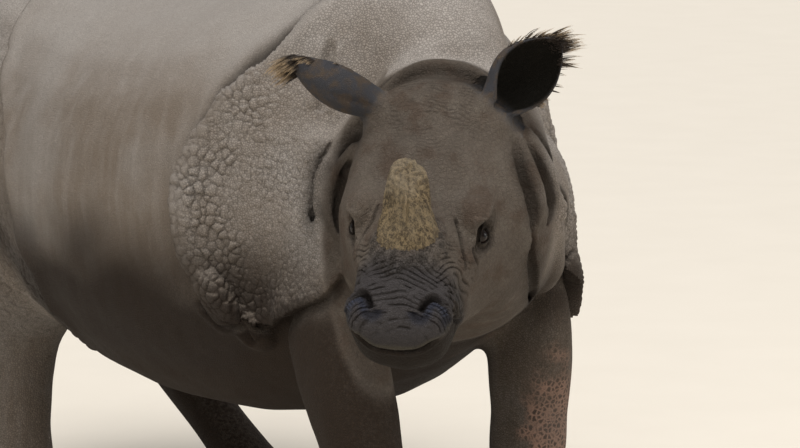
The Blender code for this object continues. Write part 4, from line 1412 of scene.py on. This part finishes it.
def tuft_tail():
    """Stiff bristles along the tail's lower end."""
    hairs = Bristles("tail_tuft")
    dice = random.Random(72)
    low = Vector(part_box("tail")[0])
    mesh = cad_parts["tail"].data
    tree = solid_tree("tail")
    for _ in range(1500):
        share = dice.random() ** 1.6
        z = low.z + 0.004 + share * 0.20
        turn = dice.uniform(0, 2 * math.pi)
        out = Vector((math.cos(turn), math.sin(turn), 0))
        centre = tail_middle(mesh, z)
        hit, *_ = tree.ray_cast(centre + out * 0.3, -out)
        if hit is None:
            continue
        way = out * dice.uniform(0.10, 0.45) + Vector((0, 0.05, -1))
        ways = []
        for k in range(4):
            stray = Vector([dice.gauss(0, 0.08) for _ in range(3)])
            ways.append(way + Vector((0, 0, -0.5)) * (k / 4) + stray)
        room = max(0.02, min(0.10, hit.z - low.z + 0.02))
        length = (0.45 + 0.55 * dice.random() ** 1.5) * room
        hairs.grow(hit - out * 0.003, ways, length, dice.uniform(0.0006, 0.0011),
                   Vector((1, 0, 0)), (0.05 + 0.85 * turn / (2 * math.pi), 0.05 + 0.85 * share))
    return hairs.mesh(0.35)


def tail_middle(mesh, z):
    """The tail's middle at this height."""
    near = [v.co for v in mesh.vertices if abs(v.co.z - z) < 0.06]
    centre = sum(near, Vector((0, 0, 0))) / max(len(near), 1)
    return Vector((centre.x, centre.y, z))


def lash_eyes():
    """Short dark lashes on the upper lids."""
    hairs = Bristles("lashes")
    dice = random.Random(73)
    for side in (1, -1):
        centre, look, long_axis, short_axis = eye_axes(side)
        for _ in range(220):
            turn = math.radians(dice.uniform(15, 165))
            spread = 1.05 + dice.random() * 0.18
            u = EYE_OPENING[0] * spread * math.cos(turn)
            v = EYE_OPENING[1] * spread * math.sin(turn)
            height = math.sqrt(LID_RADIUS ** 2 - u * u - v * v) + 0.002
            root = centre + long_axis * u + short_axis * v + look * height
            lean = look + short_axis * 0.4 + long_axis * 0.5 * math.cos(turn)
            ways = [lean + short_axis * 0.25 * k - Vector((0, 0, 0.12 * k)) for k in range(4)]
            hairs.grow(root, ways, dice.uniform(0.008, 0.018), 0.00045, long_axis,
                       (0.1 + 0.4 * (side > 0) + 0.3 * turn / math.pi, 0.2 + spread * 0.3))
    return hairs.mesh(0.1)


# ---------------------------------------------------------------------------------------------
# Finishes
# ---------------------------------------------------------------------------------------------
class Nodes:
    """Adds nodes to a tree; a socket given as a value is joined, anything else is set."""

    def __init__(self, tree):
        self.tree = tree

    def add(self, kind, values=None, **settings):
        made = self.tree.nodes.new("ShaderNode" + kind)
        for key, value in settings.items():
            setattr(made, key, value)
        for key, value in (values or {}).items():
            if isinstance(value, bpy.types.NodeSocket):
                self.tree.links.new(value, made.inputs[key])
            else:
                made.inputs[key].default_value = value
        return made

    def math(self, operation, a, b=0.5, clamp=False):
        return self.add("Math", {0: a, 1: b}, operation=operation, use_clamp=clamp).outputs[0]

    def times(self, a, b, clamp=False):
        return self.math("MULTIPLY", a, b, clamp)

    def plus(self, a, b):
        return self.math("ADD", a, b)

    def blend(self, share, a, b, mode="MIX"):
        colours = [value if isinstance(value, bpy.types.NodeSocket) else (*value, 1) for value in (a, b)]
        return self.add("Mix", {0: share, 6: colours[0], 7: colours[1]}, data_type="RGBA",
                        blend_type=mode).outputs[2]

    def span(self, value, low, high, to_low=0.0, to_high=1.0):
        return self.add("MapRange", {0: value, 1: low, 2: high, 3: to_low, 4: to_high},
                        interpolation_type="SMOOTHSTEP").outputs[0]

    def read(self, name):
        return self.add("Attribute", attribute_name=name).outputs["Fac"]

    def noise(self, vector, scale, detail=3.0, rough=0.55):
        return self.add("TexNoise", {"Vector": vector, "Scale": scale, "Detail": detail,
                                     "Roughness": rough}).outputs["Fac"]

    def stretched(self, vector, scale):
        return self.add("Mapping", {"Vector": vector, "Scale": scale}).outputs[0]

    def group(self, tree, **values):
        made = self.add("Group", node_tree=tree)
        for key, value in values.items():
            socket = made.inputs[key.replace("_", " ").capitalize()]
            if isinstance(value, bpy.types.NodeSocket):
                self.tree.links.new(value, socket)
            else:
                socket.default_value = value
        return made.outputs


def shared_effect(name, inputs, outputs, build):
    """A node group: build gets its nodes and input sockets and gives the output sockets in order."""
    tree = bpy.data.node_groups.new(name, "ShaderNodeTree")
    for label, kind, value in inputs:
        socket = tree.interface.new_socket(label, in_out="INPUT", socket_type="NodeSocket" + kind)
        if value is not None:
            socket.default_value = value
    for label, kind in outputs:
        tree.interface.new_socket(label, in_out="OUTPUT", socket_type="NodeSocket" + kind)
    entry = tree.nodes.new("NodeGroupInput")
    leave = tree.nodes.new("NodeGroupOutput")
    made = build(Nodes(tree), entry.outputs)
    for (label, _), socket in zip(outputs, made):
        tree.links.new(socket, leave.inputs[label])
    return tree


def plates(nodes, given):
    """Irregular plates of hide parted by fine cracks."""
    noise = nodes.add("TexNoise", {"Vector": given["Vector"], "Scale": 45.0, "Detail": 2.0})
    wobble = noise.outputs["Color"]
    pushed = nodes.add("VectorMath", {0: wobble, 1: (0.5, 0.5, 0.5)}, operation="SUBTRACT").outputs[0]
    pushed = nodes.add("VectorMath", {0: pushed, "Scale": 0.006}, operation="SCALE").outputs[0]
    spot = nodes.add("VectorMath", {0: given["Vector"], 1: pushed}, operation="ADD").outputs[0]
    scale = nodes.math("DIVIDE", 1.0, given["Size"])
    edge = nodes.add("TexVoronoi", {"Vector": spot, "Scale": scale, "Randomness": 0.85},
                     feature="DISTANCE_TO_EDGE").outputs["Distance"]
    shade = nodes.add("TexVoronoi", {"Vector": spot, "Scale": scale, "Randomness": 0.85}).outputs["Color"]
    crack = nodes.span(edge, 0.02, 0.16, 1.0, 0.0)
    height = nodes.span(edge, 0.0, 0.30)
    tone = nodes.add("SeparateColor", {"Color": shade}).outputs[0]
    return height, crack, tone


def grain(nodes, given):
    """Fine grain with broad soft patches."""
    fine = nodes.noise(given["Vector"], given["Scale"], 4.0, 0.6)
    patches = nodes.noise(given["Vector"], nodes.times(given["Scale"], 0.03), 4.0, 0.6)
    return fine, nodes.span(patches, 0.34, 0.66)


def fibres(nodes, given):
    """Long parallel streaks."""
    broad = nodes.noise(given["Vector"], given["Scale"], 3.0, 0.7)
    narrow = nodes.noise(given["Vector"], nodes.times(given["Scale"], 3.7), 2.0, 0.6)
    both = nodes.plus(nodes.times(broad, 0.6), nodes.times(narrow, 0.4))
    return nodes.span(both, 0.36, 0.64), narrow


VECTOR_IN = ("Vector", "Vector", None)


def build_effects():
    return {
        "plates": shared_effect("cracked_plates", (VECTOR_IN, ("Size", "Float", 0.006)),
                                (("Height", "Float"), ("Cracks", "Float"), ("Shade", "Float")), plates),
        "grain": shared_effect("fine_grain", (VECTOR_IN, ("Scale", "Float", 300.0)),
                               (("Height", "Float"), ("Patches", "Float")), grain),
        "fibres": shared_effect("long_fibres", (VECTOR_IN, ("Scale", "Float", 60.0)),
                                (("Streaks", "Float"), ("Height", "Float")), fibres),
    }


def new_material(name, **settings):
    """A material with its shader's plain values, its nodes, and the object's own coordinates."""
    made = bpy.data.materials.new(name)
    made.use_nodes = True
    shader = made.node_tree.nodes["Principled BSDF"]
    for key, value in settings.items():
        shader.inputs[key.replace("_", " ")].default_value = value
    nodes = Nodes(made.node_tree)
    spot = nodes.add("TexCoord").outputs["Object"]
    return made, shader, nodes, spot


def join(nodes, shader, colour, roughness, height, distance, strength=1.0):
    bump = nodes.add("Bump", {"Height": height, "Distance": distance, "Strength": strength})
    nodes.tree.links.new(colour, shader.inputs["Base Color"])
    nodes.tree.links.new(roughness, shader.inputs["Roughness"])
    nodes.tree.links.new(bump.outputs[0], shader.inputs["Normal"])


DRY_HIDE, WARM_HIDE, DUST = (0.262, 0.236, 0.212), (0.196, 0.160, 0.128), (0.415, 0.385, 0.360)
# The first colour here is low hide together with painted shade under the body.
LOW_SHADED_HIDE, LEG_HIDE, FACE_HIDE = (0.013, 0.007, 0.004), (0.026, 0.017, 0.011), (0.099, 0.080, 0.064)
SLATE, EAR_SLATE, EAR_DARK = (0.050, 0.047, 0.051), (0.056, 0.057, 0.065), (0.007, 0.006, 0.004)
# CREASE_DARK is painted shade in creases and grooves, and the dark of the cracks between plates.
LINING_BLUE, CREASE_DARK, PINK = (0.040, 0.047, 0.074), (0.012, 0.009, 0.007), (0.300, 0.185, 0.140)
# CHIN_BROWN is the chin's dark hide, partly painted shade under the mouth.
CHIN_BROWN, LIP_PALE = (0.007, 0.004, 0.002), (0.125, 0.112, 0.080)
SCALE_BROWN = (0.060, 0.038, 0.030)         # the plates in the pink of the shin
FACE_WARM, FACE_PALE, EAR_BROWN = (0.082, 0.054, 0.038), (0.155, 0.134, 0.110), (0.088, 0.068, 0.053)


class HideFinish:
    """The hide's colour and relief, each laid over the last from the broadest to the finest."""

    def __init__(self, nodes, spot, effects):
        self.nodes, self.spot = nodes, spot
        self.fine = nodes.group(effects["grain"], vector=spot, scale=420.0)
        self.broad = nodes.group(effects["grain"], vector=spot, scale=95.0)
        self.small = nodes.group(effects["plates"], vector=spot, size=0.0065)
        self.large = nodes.group(effects["plates"], vector=spot, size=0.0125)
        self.pores = nodes.group(effects["plates"], vector=spot, size=0.0042)
        self.stain_and_shade = nodes.noise(spot, 5.5, 5.0, 0.62)
        self.face, self.pebbled = nodes.read("face"), nodes.read("pebbled")
        self.bare = nodes.math("SUBTRACT", 1.0, self.pebbled, clamp=True)
        self.colour = nodes.blend(self.broad["Patches"], DRY_HIDE, WARM_HIDE)

    def lay(self, share, tint, mode="MIX"):
        self.colour = self.nodes.blend(share, self.colour, tint, mode)

    def lay_regions(self, *rows):
        for region, share, tint in rows:
            self.lay(self.nodes.times(self.nodes.read(region), share), tint)

    def colour_body(self):
        """Streaks of dust and stains on the trunk, dust on the back and the shoulder that is partly painted
        light, and dark hide low down and on the legs with painted shade and light in it.
        """
        nodes = self.nodes
        streak = nodes.noise(nodes.stretched(self.spot, (22.0, 22.0, 1.8)), 1.0, 5.0, 0.65)
        self.lay(nodes.times(nodes.span(streak, 0.42, 0.70), 0.20), DUST)
        self.lay(nodes.times(nodes.span(self.stain_and_shade, 0.50, 0.72), 0.40), WARM_HIDE)
        # The shoulder's dust is partly painted light; the low hide's dark is partly painted shade.
        self.lay_regions(("back", 0.75, DUST), ("fore", 0.20, DUST), ("low", 0.95, LOW_SHADED_HIDE))
        mottle = nodes.span(self.broad["Height"], 0.35, 0.65, 0.70, 1.0)
        # The legs' dark hide is kept lighter on two legs as painted light.
        self.lay(nodes.times(nodes.read("leg"), mottle), LEG_HIDE)

    def colour_head(self):
        """Warm and pale patches on the face, then the chin, muzzle, ears, nostrils and lips, and the dark
        places; the chin's dark and the dark places are partly painted shade.
        """
        nodes, face = self.nodes, self.face
        patchy = nodes.span(self.broad["Patches"], 0, 1, 0.95, 0.70)
        self.lay(nodes.times(face, patchy), FACE_HIDE)
        warm = nodes.times(nodes.span(nodes.noise(self.spot, 13.0, 4.0, 0.6), 0.48, 0.66), face)
        self.lay(nodes.times(warm, 0.6), FACE_WARM)
        pale = nodes.times(nodes.span(nodes.noise(self.spot, 19.0, 5.0, 0.65), 0.52, 0.70), face)
        self.lay(nodes.times(pale, 0.5), FACE_PALE)
        brown = nodes.span(nodes.noise(self.spot, 34.0, 4.0, 0.6), 0.42, 0.66)
        ear_hide = nodes.blend(brown, EAR_SLATE, EAR_BROWN)
        # The chin's dark and the dark places are partly painted shade.
        self.lay_regions(("chin", 0.92, CHIN_BROWN), ("muzzle", 0.90, SLATE), ("ear", 1.0, ear_hide),
                         ("ear_lining", 1.0, EAR_DARK), ("nostril", 1.0, LINING_BLUE),
                         ("lips", 0.75, LIP_PALE), ("dark", 0.72, CREASE_DARK))

    def colour_grain(self):
        """A shade of its own for each plate, specks, and dark cracks between plates and pores."""
        nodes = self.nodes
        shade = nodes.times(nodes.math("SUBTRACT", self.small["Shade"], 0.5), 0.20)
        shade = nodes.times(shade, self.pebbled)
        speck = nodes.times(nodes.math("SUBTRACT", self.fine["Height"], 0.5), 0.65)
        shaded = nodes.plus(nodes.plus(1.0, shade), speck)
        self.lay(1.0, nodes.add("CombineColor", {0: shaded, 1: shaded, 2: shaded}).outputs[0], "MULTIPLY")
        self.lay(nodes.times(nodes.times(self.large["Cracks"], self.face), 0.16), CREASE_DARK)
        cracks = nodes.times(nodes.times(self.small["Cracks"], self.pebbled), 0.42)
        between = nodes.times(nodes.times(self.pores["Cracks"], self.bare), 0.24)
        self.lay(nodes.plus(cracks, between), CREASE_DARK)

    def colour_wear_and_shade(self):
        """The bare shin's pink with its brown scales, dust on the studs, and painted shade in the creases.
        """
        nodes = self.nodes
        scales = nodes.blend(self.large["Height"], PINK, SCALE_BROWN)
        worn = nodes.span(self.stain_and_shade, 0.30, 0.62, 0.45, 0.95)
        self.lay(nodes.times(nodes.read("shin"), worn), scales)
        self.lay(nodes.times(nodes.read("studs"), 0.06), DUST)
        # Painted shade in creases, grooves, the nostrils and between studs.
        self.lay(nodes.times(nodes.read("crease"), 0.80, clamp=True), CREASE_DARK)

    def roughness(self):
        """Dry all over, a little moist on the muzzle."""
        nodes = self.nodes
        moist = nodes.times(nodes.read("muzzle"), -0.35)
        return nodes.span(nodes.plus(self.fine["Height"], moist), 0.1, 0.9, 0.58, 0.88)

    def relief(self):
        nodes = self.nodes
        height = nodes.plus(nodes.times(self.fine["Height"], 0.35),
                            nodes.times(nodes.times(self.small["Height"], self.pebbled), 0.42))
        height = nodes.plus(height, nodes.times(nodes.times(self.pores["Height"], self.bare), 0.55))
        lumps = nodes.times(nodes.noise(self.spot, 85.0, 4.0, 0.65), nodes.plus(0.35, self.face))
        height = nodes.plus(height, nodes.times(lumps, 1.1))
        return nodes.plus(height, nodes.times(nodes.times(self.large["Height"], self.face), 0.45))


def paint_hide(effects):
    made, shader, nodes, spot = new_material("hide_skin", Specular_IOR_Level=0.14)
    finish = HideFinish(nodes, spot, effects)
    finish.colour_body()
    finish.colour_head()
    finish.colour_grain()
    finish.colour_wear_and_shade()
    join(nodes, shader, finish.colour, finish.roughness(), finish.relief(), 0.0026)
    return made


HORN_GROOVE, HORN_RIDGE, HORN_GRIT = (0.022, 0.014, 0.008), (0.235, 0.175, 0.095), (0.22, 0.19, 0.14)
HORN_TOP, HORN_SPECK, HORN_PIT = (0.26, 0.22, 0.165), (0.030, 0.020, 0.012), (0.05, 0.035, 0.02)
HORN_SOIL = (0.050, 0.033, 0.020)           # the grime at its foot
NAIL_GROOVE, NAIL_RIDGE, NAIL_SOIL = (0.045, 0.034, 0.026), (0.120, 0.098, 0.074), (0.075, 0.058, 0.043)
PUPIL, IRIS_DARK, IRIS_BROWN = (0.004, 0.004, 0.005), (0.007, 0.004, 0.003), (0.018, 0.010, 0.006)
IRIS_RIM, EYE_CORNER = (0.016, 0.010, 0.008), (0.014, 0.010, 0.008)
HAIR_BLACK, HAIR_BROWN, HAIR_TIP = (0.012, 0.009, 0.007), (0.045, 0.030, 0.020), (0.42, 0.31, 0.19)
FLOOR_CREAM, FLOOR_PALE = (0.76, 0.71, 0.63), (0.80, 0.75, 0.67)


def paint_horn(effects):
    made, shader, nodes, spot = new_material("horn_fibre", Specular_IOR_Level=0.30)
    turned = nodes.add("Mapping", {"Vector": spot, "Rotation": HEAD_TURN.transposed().to_euler()}).outputs[0]
    long = nodes.group(effects["fibres"], vector=nodes.stretched(turned, (1.0, 1.0, 0.06)), scale=120.0)
    rough_grain = nodes.group(effects["grain"], vector=spot, scale=520.0)
    rise, worn = nodes.read("rise"), nodes.read("worn")
    colour = nodes.blend(long["Streaks"], HORN_GROOVE, HORN_RIDGE)
    colour = nodes.blend(nodes.times(rough_grain["Patches"], 0.22), colour, HORN_GRIT)
    specks = nodes.times(nodes.span(worn, 0.0, 0.6), nodes.span(rise, 0.55, 0.05))
    colour = nodes.blend(nodes.times(specks, 0.85), colour, HORN_SPECK)
    colour = nodes.blend(nodes.times(nodes.span(rise, 0.86, 1.06), 0.25), colour, HORN_TOP)
    pits = nodes.times(nodes.span(worn, -0.3, -0.9), nodes.span(rise, 0.70, 1.00))
    colour = nodes.blend(nodes.times(pits, 0.5), colour, HORN_PIT)
    colour = nodes.blend(nodes.span(rise, 0.34, -0.02, 0.0, 0.60), colour, HORN_SOIL)
    roughness = nodes.span(long["Streaks"], 0.0, 1.0, 0.80, 0.60)
    height = nodes.plus(long["Height"], nodes.times(rough_grain["Height"], 0.6))
    join(nodes, shader, colour, roughness, height, 0.0025)
    return made


def paint_nails(effects):
    made, shader, nodes, spot = new_material("nail_horn", Specular_IOR_Level=0.40)
    long = nodes.group(effects["fibres"], vector=nodes.stretched(spot, (1.0, 1.0, 0.08)), scale=170.0)
    soil = nodes.group(effects["grain"], vector=spot, scale=380.0)
    colour = nodes.blend(long["Streaks"], NAIL_GROOVE, NAIL_RIDGE)
    colour = nodes.blend(nodes.times(soil["Patches"], 0.5), colour, NAIL_SOIL)
    roughness = nodes.span(soil["Height"], 0.2, 0.8, 0.45, 0.75)
    height = nodes.plus(long["Height"], nodes.times(soil["Height"], 0.5))
    join(nodes, shader, colour, roughness, height, 0.0014, 0.8)
    return made


def paint_eyes():
    made, shader, nodes, spot = new_material("wet_eye", Specular_IOR_Level=0.22)
    ring = nodes.read("from_middle")
    streaks = nodes.noise(spot, 700.0, 3.0)
    iris = nodes.blend(streaks, IRIS_DARK, IRIS_BROWN)
    colour = nodes.blend(nodes.span(ring, 0.20, 0.24), PUPIL, iris)
    colour = nodes.blend(nodes.span(ring, 0.42, 0.50), colour, IRIS_RIM)
    colour = nodes.blend(nodes.span(ring, 0.74, 0.95), colour, EYE_CORNER)
    roughness = nodes.span(streaks, 0.0, 1.0, 0.10, 0.20)
    join(nodes, shader, colour, roughness, streaks, 0.0001, 0.2)
    return made


def paint_hair():
    made, shader, nodes, spot = new_material("dark_bristle", Specular_IOR_Level=0.35)
    tip = nodes.read("tip")
    mottle = nodes.noise(spot, 60.0, 2.0)
    root_colour = nodes.blend(mottle, HAIR_BLACK, HAIR_BROWN)
    share = nodes.times(nodes.span(tip, 0.30, 0.90), nodes.span(mottle, 0.28, 0.52))
    colour = nodes.blend(share, root_colour, HAIR_TIP)
    roughness = nodes.span(mottle, 0.2, 0.8, 0.45, 0.65)
    join(nodes, shader, colour, roughness, mottle, 0.0002, 0.3)
    return made


def paint_floor():
    made, shader, nodes, spot = new_material("floor_paint", Specular_IOR_Level=0.2)
    soft = nodes.noise(spot, 3.0, 3.0)
    colour = nodes.blend(soft, FLOOR_CREAM, FLOOR_PALE)
    join(nodes, shader, colour, nodes.span(soft, 0.0, 1.0, 0.85, 0.95), soft, 0.001, 0.1)
    return made


# ---------------------------------------------------------------------------------------------
# All together
# ---------------------------------------------------------------------------------------------
def place_piece(name, mesh, material, nodes=()):
    piece = show(name, mesh, material)
    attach(piece, "root")
    if nodes:
        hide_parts(*nodes)
    return piece


add_camera()
add_light()
add_floor()
EFFECTS = build_effects()
place_piece("hide", build_hide(), paint_hide(EFFECTS), FLESH)
place_piece("horn_stump", build_horn(), paint_horn(EFFECTS), ["horn"])
place_piece("eyes", build_eyes(), paint_eyes(), ["eye_left", "eye_right"])
NAILS, NAIL_NODES = build_nails()
place_piece("nails", NAILS, paint_nails(EFFECTS), NAIL_NODES)
HAIR_PAINT = paint_hair()
place_piece("ear_fringe", fringe_ears(), HAIR_PAINT)
place_piece("tail_tuft", tuft_tail(), HAIR_PAINT)
place_piece("lashes", lash_eyes(), HAIR_PAINT)
